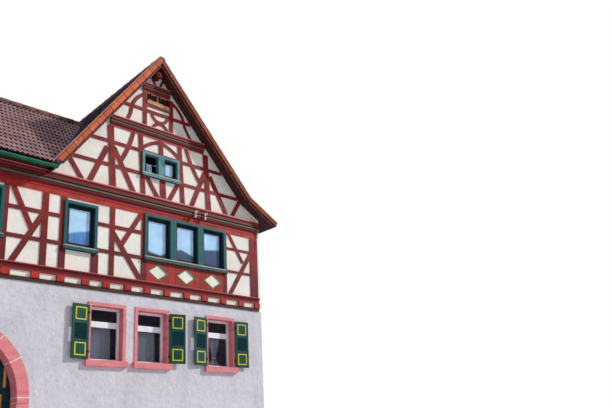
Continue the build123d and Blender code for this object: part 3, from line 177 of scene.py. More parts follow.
class HouseColours(bpy.types.PropertyGroup):
    """Colours of the finishes."""

    render: colour("Wall render", (206, 199, 204), "Lime render of the ground floor")
    plaster: colour("Plaster", (230, 221, 209), "Plaster between the timbers")
    timber: colour("Timber", (136, 28, 20), "Paint of the timbers")
    timber_low: colour("Lower timber", (104, 22, 22), "Timbers near the sill beam")
    timber_worn: colour("Worn timber", (84, 26, 20), "Paint where it has dulled")
    joist: colour("Joist ends", (180, 44, 34), "Paint of the joist ends")
    # Painted highlight: this pale pink paints the sunlit top edge of each moulding and of the
    # sill beam.
    ledge: colour("Ledge highlight", (226, 128, 122), "Faded top ledges of the mouldings")
    moulding: colour("Moulding", (118, 22, 32), "Dark bands of the mouldings")
    # Painted shade: this near-black stands for the shadows in the hollows and under the
    # projections of the mouldings. As the painted_shadow finish it also goes under the sill
    # boards and into the gaps of the hatch.
    shadow: colour("Groove shadow", (30, 10, 12), "Grooves of the mouldings")
    bead: colour("Bead", (24, 124, 82), "Paint of the green beads")
    lozenge: colour("Lozenge", (58, 132, 72), "Paint of the lozenges")
    sandstone: colour("Sandstone", (226, 132, 134), "Dressed stone")
    mortar: colour("Mortar", (232, 206, 208), "Joints between the stones")
    casing: colour("Casing", (10, 82, 82), "Paint of the upper casings")
    casing_pale: colour("Pale casing", (92, 142, 144), "Sun bleached casing")
    sash: colour("Sash", (36, 22, 34), "Stain of the upper sashes")
    frame_white: colour("White paint", (236, 234, 236), "Paint of the lower frames")
    sill_pale: colour("Pale sill", (222, 190, 176), "Tiles on the inner sills")
    sill_brown: colour("Brown sill", (128, 72, 58), "Edge of the inner sills")
    shutter: colour("Shutter", (4, 70, 66), "Paint of the shutters")
    shutter_dark: colour("Louvre", (6, 66, 70), "Paint of the louvres")
    shutter_line: colour("Shutter line", (218, 194, 6), "Lines on the shutters")
    gate: colour("Gate", (6, 50, 58), "Paint of the gate boards")
    gate_line: colour("Gate stripe", (206, 152, 66), "Stripes of the gate")
    tile: colour("Roof tile", (186, 142, 140), "Clay of the roof tiles")
    # The main roof's dark tile colour is partly soot and partly painted shade, taken from the
    # left slope that lies out of the sun.
    main_tile: colour("Sooty shaded tile", (104, 80, 84), "Old tiles of the main roof")
    parapet: colour("Parapet", (160, 45, 34), "Boards below the wide windows")
    tile_dark: colour("Weathered tile", (96, 68, 74), "Roof tiles with moss and soot")
    verge: colour("Verge tile", (208, 100, 62), "Clay of the verge tiles")
    ridge: colour("Ridge tile", (120, 82, 68), "Clay of the ridge tiles")
    # The soffit's dark brown is partly stain and partly painted shade of the undersides of eaves
    # and verges. Decks, eaves and the ridge bed take it.
    soffit: colour("Soffit", (62, 32, 30), "Stained boards under the roof")
    barge: colour("Verge board", (112, 58, 42), "Thin board below the verge tiles")
    flashing: colour("Flashing", (168, 200, 236), "Sheet metal in the valleys")
    gutter: colour("Gutter", (6, 108, 82), "Paint of the gutter")
    # The paler green of the right length's rolled lip: partly a painted highlight where the sun
    # catches the lip, partly taken as a newer length.
    gutter_lip: colour("Gutter lip", (84, 186, 148), "Newer length of gutter")
    hatch: colour("Hatch boards", (66, 30, 30), "Boards of the loft hatch")
    hatch_sill: colour("Hatch sill", (204, 152, 116), "Weathered sill of the hatch")
    floor_wood: colour("Floor boards", (140, 112, 82), "Boards of the floors")
    # Painted reflections: the colours that the upper panes show of the sky and of the street's
    # far side.
    sky: colour("Sky in glass", (172, 206, 238), "Upper part of the panes")
    street: colour("Street in glass", (84, 98, 128), "Lower part of the panes")
    hill: colour("Hill in glass", (92, 150, 208), "Lower part of the left panes")
    # Painted shade: the dark tint of the ground floor panes stands for the unlit room behind.
    room: colour("Dark glass", (34, 34, 42), "Panes before a dark room")
    curtain: colour("Curtain", (214, 222, 238), "Curtains of the ground floor")


# Materials
class Finish:
    """A material: one Principled shader, fed by patterns on Object coordinates."""

    def __init__(self, name, roughness=0.7, **sockets):
        self.material = bpy.data.materials.new(name)
        self.material.use_nodes = True
        self.tree = self.material.node_tree
        self.shader = self.tree.nodes["Principled BSDF"]
        self.shader.inputs["Roughness"].default_value = roughness
        self.shader.inputs["Specular IOR Level"].default_value = 0.2
        for key, value in sockets.items():
            self.shader.inputs[key.replace("_", " ")].default_value = value
        self.place = self.node("ShaderNodeTexCoord").outputs["Object"]
        self.last_normal = None

    def node(self, kind, **settings):
        """A node with its settings."""
        made = self.tree.nodes.new(kind)
        for key, value in settings.items():
            setattr(made, key, value)
        return made

    def feed(self, socket, value):
        """Links a socket, or sets a plain value."""
        if isinstance(value, bpy.types.NodeSocket):
            self.tree.links.new(value, socket)
        elif isinstance(value, tuple) and len(value) == 3 and socket.type == "RGBA":
            socket.default_value = (*value, 1)
        else:
            socket.default_value = value

    def stretched(self, scale=(1, 1, 1)):
        """Object coordinates, scaled along each axis."""
        mapping = self.node("ShaderNodeMapping")
        self.feed(mapping.inputs["Vector"], self.place)
        mapping.inputs["Scale"].default_value = scale
        return mapping.outputs["Vector"]

    def noise(self, scale, detail=4, stretch=(1, 1, 1), rough=0.6):
        """Cloudy noise from 0 to 1."""
        made = self.node("ShaderNodeTexNoise")
        self.feed(made.inputs["Vector"], self.stretched(stretch))
        made.inputs["Scale"].default_value = scale
        made.inputs["Detail"].default_value = detail
        made.inputs["Roughness"].default_value = rough
        return made.outputs["Fac"]

    def cells(self, scale, stretch=(1, 1, 1), feature="F1"):
        """Distance to cell middles, or to cell edges."""
        made = self.node("ShaderNodeTexVoronoi", feature=feature)
        self.feed(made.inputs["Vector"], self.stretched(stretch))
        made.inputs["Scale"].default_value = scale
        return made.outputs["Distance"]

    def range(self, value, low, high, to_low=0.0, to_high=1.0):
        """A value's share of a range, held within it."""
        made = self.node("ShaderNodeMapRange")
        self.feed(made.inputs["Value"], value)
        for key, number in (
            ("From Min", low),
            ("From Max", high),
            ("To Min", to_low),
            ("To Max", to_high),
        ):
            made.inputs[key].default_value = number
        return made.outputs["Result"]

    def math(self, operation, first, second=0.0):
        """A sum on two values."""
        made = self.node("ShaderNodeMath", operation=operation)
        self.feed(made.inputs[0], first)
        self.feed(made.inputs[1], second)
        return made.outputs[0]

    def times(self, first, second):
        """A product."""
        return self.math("MULTIPLY", first, second)

    def mix(self, share, first, second):
        """Two colours mixed."""
        made = self.node("ShaderNodeMix", data_type="RGBA")
        self.feed(made.inputs["Factor"], share)
        self.feed(made.inputs["A"], first)
        self.feed(made.inputs["B"], second)
        return made.outputs["Result"]

    def ramp(self, value, stops, steps=False):
        """Colours along a value from 0 to 1."""
        made = self.node("ShaderNodeValToRGB")
        made.color_ramp.interpolation = "CONSTANT" if steps else "LINEAR"
        for number, (place, there) in enumerate(stops):
            if number < 2:
                element = made.color_ramp.elements[number]
                element.position = place
            else:
                element = made.color_ramp.elements.new(place)
            element.color = (*there, 1)
        self.feed(made.inputs["Fac"], value)
        return made.outputs["Color"]

    def axis(self, name):
        """One of the Object coordinates."""
        made = self.node("ShaderNodeSeparateXYZ")
        self.feed(made.inputs[0], self.place)
        return made.outputs[name]

    def facing_up(self):
        """The upward part of the face's normal."""
        made = self.node("ShaderNodeSeparateXYZ")
        self.feed(made.inputs[0], self.node("ShaderNodeNewGeometry").outputs["Normal"])
        return made.outputs["Z"]

    def attribute(self, name):
        """A number kept on the mesh."""
        return self.node("ShaderNodeAttribute", attribute_name=name).outputs["Fac"]

    def paint(self, value):
        """Sets the base colour."""
        self.feed(self.shader.inputs["Base Color"], value)

    def rough(self, value):
        """Feeds the roughness."""
        self.feed(self.shader.inputs["Roughness"], value)

    def bump(self, height, strength, distance):
        """Adds relief, one layer over the last."""
        made = self.node("ShaderNodeBump")
        self.feed(made.inputs["Height"], height)
        made.inputs["Strength"].default_value = strength
        made.inputs["Distance"].default_value = distance
        if self.last_normal:
            self.feed(made.inputs["Normal"], self.last_normal)
        self.last_normal = made.outputs["Normal"]
        self.feed(self.shader.inputs["Normal"], self.last_normal)


def shade(value, share):
    """A colour made darker or lighter."""
    return tuple(min(1.0, part * share) for part in value)


def wall_finish(name, value, trowel, share):
    """Lime render or plaster: float marks, faint clouds, streaks and hair cracks."""
    finish = Finish(name, roughness=0.88)
    clouds = finish.range(finish.noise(0.9, 6), 0.38, 0.64)
    fine = finish.range(finish.noise(8, 7), 0.4, 0.68)
    streaks = finish.range(finish.noise(2.6, 6, (1, 1, 0.16)), 0.52, 0.74)
    body = finish.mix(clouds, shade(value, 1.06), shade(value, 0.9))
    body = finish.mix(finish.times(fine, share), body, shade(value, 0.7))
    body = finish.mix(finish.times(streaks, share), body, shade(value, 0.72))
    lines = finish.range(finish.cells(0.75, (1, 1, 0.7), "DISTANCE_TO_EDGE"), 0.0, 0.005)
    some = finish.range(finish.noise(0.9, 2), 0.6, 0.64)
    crack = finish.times(finish.math("SUBTRACT", 1.0, lines), finish.times(some, 0.5))
    finish.paint(finish.mix(crack, body, shade(value, 0.5)))
    finish.bump(finish.noise(5, 7, rough=0.68), 0.8, trowel)
    finish.bump(finish.noise(80, 3), 0.3, 0.002)
    return finish.material


def paint_finish(name, value, worn, roughness=0.55, grain=(1, 1, 1), share=0.5, rise=None):
    """Old oil paint on wood: dulled clouds, fine grain and chips. rise is a foot, a
    head and the colour below them."""
    finish = Finish(name, roughness=roughness)
    body = value
    if rise:
        foot, head, low = rise
        wander = finish.range(finish.noise(1.2, 2), 0, 1, -0.5, 0.5)
        height = finish.math("ADD", finish.axis("Z"), wander)
        body = finish.mix(finish.range(height, foot, head), low, value)
    clouds = finish.range(finish.noise(3.1, 6), 0.40, 0.66)
    fine = finish.range(finish.noise(30, 5, grain), 0.42, 0.75)
    body = finish.mix(finish.times(clouds, share), body, worn)
    body = finish.mix(finish.times(fine, 0.4), body, shade(worn, 0.55))
    chips = finish.range(finish.noise(19, 6, grain), 0.68, 0.74)
    finish.paint(finish.mix(finish.times(chips, 0.35), body, shade(value, 1.6)))
    finish.rough(finish.range(clouds, 0, 1, roughness, min(1.0, roughness + 0.2)))
    finish.bump(finish.noise(30, 4, grain), 0.4, 0.004)
    return finish.material


def dulled_paint(name, value, dull, *rest):
    """Old oil paint that wears to a share of its own colour."""
    return paint_finish(name, value, shade(value, dull), *rest)


def banded_finish(name, spans, bands, worn):
    """Paint in level bands. Spans are the foot and head of each moulding, and bands the colours
    from its foot up. The near-black bands are painted shadows under the projections, and the
    pale top band is a painted highlight."""
    finish = Finish(name, roughness=0.5)
    height = finish.axis("Z")
    place = 0.0
    for foot, head in spans:
        place = finish.math("ADD", finish.range(height, foot, head, 0.0, 0.998), place)
    body = finish.ramp(finish.math("FRACT", place), bands, steps=True)
    clouds = finish.range(finish.noise(2.6, 5, (0.5, 1, 1)), 0.42, 0.68)
    fine = finish.range(finish.noise(28, 5, (0.3, 1, 1)), 0.42, 0.75)
    body = finish.mix(finish.times(clouds, 0.35), body, worn)
    finish.paint(finish.mix(finish.times(fine, 0.35), body, shade(worn, 0.5)))
    finish.bump(finish.noise(24, 4, (0.3, 1, 1)), 0.35, 0.004)
    return finish.material


def stone_finish(name, value):
    """Sandstone with beds and pecked tooling, and faces that look up painted paler as a painted
    highlight of the lit tops.
    """
    finish = Finish(name, roughness=0.85)
    beds = finish.range(finish.noise(2.4, 6, (1, 1, 3)), 0.36, 0.7)
    grit = finish.range(finish.noise(110, 2), 0.3, 0.75)
    body = finish.mix(beds, shade(value, 1.06), shade(value, 0.74))
    body = finish.mix(finish.times(grit, 0.25), body, shade(value, 0.6))
    # Painted highlight: faces that look up are made paler.
    top = finish.range(finish.facing_up(), 0.5, 0.9, 0.0, 0.55)
    finish.paint(finish.mix(top, body, srgb(232, 206, 204)))
    finish.bump(finish.noise(50, 3), 0.5, 0.004)
    return finish.material


def tile_finish(name, value, dark, share=0.5, patch=0.4, top=0.0, butt_shadow=0.0):
    """Fired clay: a shade for each tile, soot, moss and lichen. Its paler tops are partly lichen
    and partly a painted highlight, and its faces that look down carry a painted shadow."""
    finish = Finish(name, roughness=0.78)
    own = finish.attribute("shade")
    body = finish.mix(own, shade(value, 1.1), shade(value, 0.78))
    soot = finish.range(finish.noise(1.3, 6), 0.4, 0.7)
    body = finish.mix(finish.times(soot, share), body, dark)
    fine = finish.range(finish.noise(34, 5), 0.45, 0.75)
    body = finish.mix(finish.times(fine, 0.45), body, shade(dark, 0.8))
    lichen = finish.range(finish.noise(9, 6), 0.58, 0.7)
    pale = srgb(206, 172, 160)
    body = finish.mix(finish.times(lichen, patch), body, pale)
    # Painted highlight, partly lichen: faces that look up are made paler, by as much as top.
    upward = finish.range(finish.facing_up(), 0.05, 0.5, 0.0, top)
    body = finish.mix(upward, body, pale)
    # Painted shadow: faces that look down, the lower ends of the tiles, are darkened.
    under = finish.range(finish.facing_up(), -0.2, 0.4, butt_shadow, 0.0)
    finish.paint(finish.mix(under, body, shade(dark, 0.25)))
    finish.bump(finish.noise(60, 4), 0.35, 0.003)
    return finish.material


def metal_finish(name, value, roughness=0.4, metallic=0.0):
    """Painted or bare sheet metal with dull patches."""
    finish = Finish(name, roughness=roughness, Metallic=metallic)
    clouds = finish.range(finish.noise(4, 5), 0.35, 0.7)
    finish.paint(finish.mix(clouds, value, shade(value, 0.6)))
    finish.rough(finish.range(finish.noise(9, 4), 0.3, 0.7, roughness, roughness + 0.25))
    finish.bump(finish.noise(14, 3), 0.2, 0.003)
    return finish.material


def board_finish(name, value, width, along="X", roughness=0.75, worn=0.55):
    """Boards laid side by side: joints across one axis, grain along them."""
    finish = Finish(name, roughness=roughness)
    place = finish.math("DIVIDE", finish.axis(along), width)
    within = finish.math("FRACT", place)
    edge = finish.math("ABSOLUTE", finish.math("SUBTRACT", within, 0.5))
    gap = finish.range(edge, 0.47, 0.5)
    own = finish.node("ShaderNodeTexWhiteNoise", noise_dimensions="1D")
    finish.feed(own.inputs["W"], finish.math("FLOOR", place))
    stretch = (1, 12, 12) if along != "X" else (12, 1, 1)
    grain = finish.range(finish.noise(2.4, 6, stretch), 0.38, 0.72)
    body = finish.mix(own.outputs["Value"], shade(value, 1.15), shade(value, 0.8))
    body = finish.mix(finish.times(grain, 0.6), body, shade(value, worn))
    finish.paint(finish.mix(gap, body, shade(value, 0.25)))
    finish.bump(finish.math("SUBTRACT", 1.0, gap), 0.6, 0.006)
    finish.bump(grain, 0.3, 0.002)
    return finish.material


def sky_reflection_glass(name, sky, street, hill):
    """Old panes with a painted reflection of the sky, and of the street's far side in their
    lower part.
    """
    finish = Finish(name, roughness=0.06, Alpha=0.86, IOR=1.5)
    along = finish.axis("X")
    wave = finish.math("SINE", finish.times(along, 1.9))
    steps = finish.math("PINGPONG", finish.times(along, 0.3), 0.2)
    edge = finish.math("ADD", finish.times(wave, 0.08), finish.math("ADD", steps, 5.8))
    edge = finish.math("ADD", edge, finish.range(along, 1.15, 1.4, 0.0, 0.34))
    edge = finish.math("ADD", edge, finish.range(along, -1.2, -1.5, 0.0, 0.06))
    high = finish.math("ADD", finish.range(finish.axis("Z"), 7.0, 7.5, 0.0, 2.25), edge)
    above = finish.range(finish.math("SUBTRACT", finish.axis("Z"), high), -0.03, 0.03)
    clouds = finish.range(finish.noise(1.4, 4, (1, 1, 1.6)), 0.38, 0.66)
    pale = finish.mix(clouds, sky, shade(sky, 1.3))
    folds = finish.range(finish.noise(3.2, 5, (3, 3, 0.6)), 0.35, 0.7)
    # Painted reflection of the street's far side, bluer in the left panes.
    far_side_reflection = finish.mix(finish.range(along, -1.5, -1.2), hill, street)
    low = finish.mix(finish.times(folds, 0.5), far_side_reflection, shade(street, 0.7))
    finish.paint(finish.mix(above, low, pale))
    finish.bump(finish.noise(4, 2), 0.15, 0.004)
    return finish.material


def room_glass(name, value):
    """Clear panes before a dark room, tinted dark as painted shade of the room behind them."""
    finish = Finish(name, roughness=0.05, Alpha=0.3, IOR=1.5)
    clouds = finish.range(finish.noise(1.1, 3), 0.35, 0.7)
    finish.paint(finish.mix(clouds, value, shade(value, 2.2)))
    finish.bump(finish.noise(4, 2), 0.12, 0.004)
    return finish.material


def cloth_finish(name, value):
    """A light woven curtain."""
    finish = Finish(name, roughness=0.95, Sheen_Weight=0.2)
    weave = finish.range(finish.noise(14, 3, (1, 1, 0.2)), 0.3, 0.7)
    finish.paint(finish.mix(weave, shade(value, 1.02), shade(value, 0.8)))
    finish.bump(finish.noise(260, 2, (1, 1, 3)), 0.3, 0.001)
    return finish.material


def make_materials(colours, sizes):
    """Every finish of the house, by name."""
    tint = {key: tuple(getattr(colours, key)) for key in colours.__annotations__}
    # Bands of the main mouldings. The near-black bands are painted shadows in the hollows and
    # under the projections, and the pale pink top band is a painted highlight.
    moulding = (
        (0.0, shade(tint["timber"], 1.1)),
        (0.17, shade(tint["moulding"], 0.7)),
        (0.345, tint["moulding"]),
        (0.39, tint["bead"]),
        (0.475, tint["shadow"]),
        (0.565, tint["moulding"]),
        (0.65, tint["shadow"]),
        (0.69, shade(tint["timber"], 0.9)),
        (0.79, tint["shadow"]),
        (0.84, shade(tint["timber"], 0.8)),
        (0.88, tint["ledge"]),
    )
    # Bands of the sill beam, with a near-black band of painted shadow and a pale top band of
    # painted highlight.
    sill = (
        (0.0, tint["timber"]),
        (0.16, shade(tint["moulding"], 0.8)),
        (0.34, shade(tint["timber"], 0.9)),
        (0.56, tint["shadow"]),
        (0.67, shade(tint["moulding"], 0.9)),
        (0.84, tint["ledge"]),
    )
    spans = ((SILL_LOW.z, SILL_HIGH.z),)
    soot_and_shade, verge = tint["main_tile"], tint["verge"]
    low = (5.2, 6.6, tint["timber_low"])
    high = (6.9, 8.2, tint["casing"])
    tall = (1, 1, 0.2)
    return {
        "render": wall_finish("wall_render", tint["render"], 0.05, 0.32),
        "plaster": wall_finish("plaster", tint["plaster"], 0.02, 0.16),
        "timber": paint_finish("red_timber", tint["timber"], tint["timber_worn"], rise=low),
        "parapet": board_finish("parapet_boards", tint["parapet"], 0.21, "X", 0.6, 0.3),
        "joist": paint_finish("joist_red", tint["joist"], tint["timber"], share=0.6),
        "base": paint_finish("base_beam", srgb(70, 36, 32), srgb(44, 40, 28)),
        "cornice": banded_finish("cornice", MOULDINGS, moulding, tint["moulding"]),
        "sill_beam": banded_finish("sill_beam", spans, sill, tint["moulding"]),
        "lozenge": dulled_paint("lozenge", tint["lozenge"], 0.4),
        "stone": stone_finish("sandstone", tint["sandstone"]),
        "mortar": stone_finish("mortar", tint["mortar"]),
        "casing": paint_finish(
            "casing_paint", tint["casing_pale"], tint["casing"], 0.42, tall, 0.75, high
        ),
        "sash": dulled_paint("dark_wood", tint["sash"], 0.5, 0.4, tall),
        "white": dulled_paint("white_paint", tint["frame_white"], 0.8, 0.4),
        "sill_pale": dulled_paint("sill_pale", tint["sill_pale"], 0.8),
        "sill_brown": dulled_paint("sill_brown", tint["sill_brown"], 0.6),
        "shutter": dulled_paint("shutter_paint", tint["shutter"], 0.6, 0.36),
        "louvre": dulled_paint("louvre_paint", tint["shutter_dark"], 0.5),
        "line": dulled_paint("shutter_line", tint["shutter_line"], 0.75, 0.4),
        "gate": dulled_paint("gate_paint", tint["gate"], 0.5, 0.42, tall),
        "gate_line": dulled_paint("gate_stripe", tint["gate_line"], 0.66, 0.5, tall),
        "tile": tile_finish("roof_tile", tint["tile"], tint["tile_dark"], butt_shadow=0.85),
        # The main roof's tiles are darker: partly soot, partly painted shade.
        "main_tile": tile_finish(
            "main_roof_tile", soot_and_shade, shade(soot_and_shade, 0.4), 0.6, 0.12, butt_shadow=0.85
        ),
        # The verge tiles' pale tops are partly lichen and partly a painted highlight.
        "verge": tile_finish("verge_tile", verge, shade(verge, 0.5), 0.5, 0.6, 0.7),
        # Darker verge tiles for the right rakes.
        "dark_verge": tile_finish(
            "old_verge_tile", shade(verge, 0.5), shade(verge, 0.2), 0.6, 0.3, 0.4
        ),
        "ridge": tile_finish("ridge_tile", tint["ridge"], tint["tile_dark"], 0.6, 0.3),
        "soffit": board_finish("soffit_boards", tint["soffit"], sizes.board, "Y"),
        "barge": board_finish("verge_board", tint["barge"], sizes.board, "Y"),
        "flashing": metal_finish("flashing", tint["flashing"], 0.45, 0.1),
        "gutter": metal_finish("gutter_paint", tint["gutter"], 0.32),
        "gutter_lip": metal_finish("gutter_lip", tint["gutter_lip"], 0.32),
        "iron": metal_finish("black_iron", srgb(24, 24, 26), 0.5, 0.4),
        "hatch": board_finish("hatch_boards", tint["hatch"], 0.13, "X", 0.9),
        "hatch_sill": board_finish("hatch_sill", tint["hatch_sill"], 0.4, "X", 0.9, 0.35),
        "rubble": stone_finish("rubble", srgb(140, 70, 62)),
        "post_grey": paint_finish("grey_post", srgb(126, 118, 112), srgb(92, 84, 80)),
        "floor": board_finish("floor_boards", tint["floor_wood"], sizes.board, "X", 0.6),
        "sky_reflection_glass": sky_reflection_glass("window_glass", tint["sky"], tint["street"], tint["hill"]),
        "room_glass": room_glass("room_glass", tint["room"]),
        "painted_shadow": dulled_paint("painted_shadow", tint["shadow"], 0.5),
        "curtain": cloth_finish("curtain_cloth", tint["curtain"]),
    }


MATERIALS = {}


def dress(node, finish, choose=None):
    """Gives a CAD node its finish, or each face the finish that choose names for its
    middle."""
    mesh = NODES[node].data
    mesh.materials.clear()
    if not choose:
        mesh.materials.append(MATERIALS[finish])
        return
    slots = []
    for face in mesh.polygons:
        key = choose(face.center) or finish
        if key not in slots:
            slots.append(key)
            mesh.materials.append(MATERIALS[key])
        face.material_index = slots.index(key)


# Meshes
def axes(first, second, third):
    """The turn whose X, Y and Z run in three directions."""
    return Matrix((first, second, third)).transposed().to_4x4()


def street_of(y):
    """The cutting plane that keeps what lies on the street side of a depth."""
    return Vector((0, y, 0)), Vector((0, -1, 0))


def yard_of(y):
    """The cutting plane that keeps what lies behind a depth."""
    return Vector((0, y, 0)), Vector((0, 1, 0))


def add_piece(name, mesh, finish=None, body="house"):
    """A finished piece that rides on a body."""
    piece = bpy.data.objects.new(name, mesh)
    bpy.context.scene.collection.objects.link(piece)
    if not mesh.materials:
        mesh.materials.append(MATERIALS[finish])
    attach(piece, body)
    return piece


def evaluated_mesh(holder, name):
    """The plain mesh of an object with its modifiers applied."""
    bpy.context.view_layer.update()
    graph = bpy.context.evaluated_depsgraph_get()
    made = bpy.data.meshes.new_from_object(holder.evaluated_get(graph), depsgraph=graph)
    made.name = name
    return made


def modified(mesh, kind, **settings):
    """The mesh with one modifier applied."""
    holder = bpy.data.objects.new("holder", mesh)
    bpy.context.scene.collection.objects.link(holder)
    modifier = holder.modifiers.new("change", kind)
    for key, value in settings.items():
        setattr(modifier, key, value)
    made = evaluated_mesh(holder, mesh.name)
    bpy.data.objects.remove(holder)
    return made


def bevelled(mesh, width):
    """The mesh with its edges rounded."""
    return modified(mesh, "BEVEL", width=width, segments=2, limit_method="ANGLE")


def mesh_of(form, name):
    """What a bmesh holds, as a mesh of its own."""
    mesh = bpy.data.meshes.new(name)
    form.to_mesh(mesh)
    form.free()
    return mesh


def clipped(mesh, planes):
    """The mesh cut by planes, keeping what lies on the side of each normal."""
    form = bmesh.new()
    form.from_mesh(mesh)
    for point, normal in planes:
        bmesh.ops.bisect_plane(
            form,
            geom=form.verts[:] + form.edges[:] + form.faces[:],
            plane_co=point,
            plane_no=normal,
            clear_inner=True,
        )
    form.to_mesh(mesh)
    form.free()
    return mesh


def joined(name, meshes):
    """Several meshes of one finish as one, with their faces turned outward."""
    form = bmesh.new()
    for mesh in meshes:
        form.from_mesh(mesh)
    bmesh.ops.recalc_face_normals(form, faces=form.faces)
    for face in form.faces:
        face.material_index = 0
    made = mesh_of(form, name)
    made.materials.append(meshes[0].materials[0])
    return made


class Work:
    """Small solid parts gathered into one piece, each with a finish of its own."""

    def __init__(self, name, *finishes):
        self.name = name
        self.finishes = finishes
        self.form = bmesh.new()

    def prism(self, outline, near, far, matrix=STREET, finish=0):
        """An outline of (x, z) pairs, extruded along Y between two depths."""
        ends = [
            [self.form.verts.new(matrix @ Vector((x, y, z))) for x, z in outline]
            for y in (near, far)
        ]
        faces = [self.form.faces.new(ends[0]), self.form.faces.new(reversed(ends[1]))]
        for number in range(len(outline)):
            following = (number + 1) % len(outline)
            corners = (
                ends[0][following],
                ends[0][number],
                ends[1][number],
                ends[1][following],
            )
            faces.append(self.form.faces.new(corners))
        for face in faces:
            face.material_index = finish

    def box(self, low, high, matrix=STREET, finish=0):
        """A block between two corners."""
        outline = rectangle(low[0], high[0], low[2], high[2])
        self.prism(outline, low[1], high[1], matrix, finish)

    def rod(self, start, end, radius, finish=0, sides=12):
        """A round bar between two places."""
        start, end = Vector(start), Vector(end)
        axis = end - start
        turn = axis.to_track_quat("Y", "Z").to_matrix().to_4x4()
        outline = ellipse(radius, radius, sides)
        self.prism(outline, 0, axis.length, Matrix.Translation(start) @ turn, finish)

    def loop(self, outer, inner, near, far, matrix=STREET, finish=0):
        """A frame between two outlines with as many corners."""
        for number in range(len(outer)):
            following = (number + 1) % len(outer)
            side = (outer[number], outer[following], inner[following], inner[number])
            self.prism(side, near, far, matrix, finish)

    def mesh(self, bevel=0.003):
        """The work as a mesh with rounded edges."""
        bmesh.ops.recalc_face_normals(self.form, faces=self.form.faces)
        mesh = mesh_of(self.form, self.name)
        for finish in self.finishes:
            mesh.materials.append(MATERIALS[finish])
        return bevelled(mesh, bevel) if bevel else mesh

    def piece(self, body="house", slot=None, bevel=0.003):
        """The work as a piece that rides on a body."""
        return add_piece(self.name, self.mesh(bevel), None, body)


def rectangle(left, right, foot, head, inset=0.0):
    """The corners of an upright rectangle."""
    return (
        (left + inset, foot + inset),
        (right - inset, foot + inset),
        (right - inset, head - inset),
        (left + inset, head - inset),
    )


def ellipse(across, high, sides):
    """The corners of an ellipse, from half its width and half its height."""
    turns = [math.tau * number / sides for number in range(sides)]
    return [(across * math.cos(turn), high * math.sin(turn)) for turn in turns]


# A face whose normal has a smaller Z than this is too steep to be a roof plane
LEAST_NORMAL_Z = 0.2


class Slope:
    """A roof plane of a CAD node's top, with its own axes along and up it."""

    def __init__(self, node, rank=0):
        mesh = NODES[node].data
        areas, groups = {}, {}
        for face in mesh.polygons:
            if face.normal.z < LEAST_NORMAL_Z:
                continue
            key = tuple(round(part, 2) for part in face.normal)
            areas[key] = areas.get(key, 0) + face.area
            groups.setdefault(key, []).append(face)
        best = sorted(areas, key=areas.get, reverse=True)[rank]
        faces = groups[best]
        self.normal = faces[0].normal.copy()
        points = [mesh.vertices[i].co for face in faces for i in face.vertices]
        self.up = (UP - self.normal * self.normal.z).normalized()
        self.along = self.up.cross(self.normal)
        along = [point.dot(self.along) for point in points]
        up = [point.dot(self.up) for point in points]
        self.width = max(along) - min(along)
        self.length = max(up) - min(up)
        self.point = points[0].copy()
        level = self.point.dot(self.normal)
        self.origin = self.along * min(along) + self.up * min(up) + self.normal * level

    def at(self, along, up, out=0.0):
        """A place on the slope."""
        return self.origin + self.along * along + self.up * up + self.normal * out

    def matrix(self, along=0.0, up=0.0, out=0.0):
        """Turns flat work into work on the slope."""
        turn = axes(self.along, self.up, self.normal)
        return Matrix.Translation(self.at(along, up, out)) @ turn

    def plane(self, out=0.0):
        """The slope as a cutting plane."""
        return self.point + self.normal * out, self.normal

    def edge_matrix(self, back=False):
        """Turns work beside the street or back edge into work on the slope: its X runs
        in from the edge, its Y up the slope and its Z out of it."""
        ends = sorted((self.at(0, 0), self.at(self.width, 0)), key=lambda end: end.y)
        corner = ends[1] if back else ends[0]
        inward = Vector((0, -1 if back else 1, 0))
        turn = axes(inward, self.up, self.normal)
        return Matrix.Translation(corner) @ turn


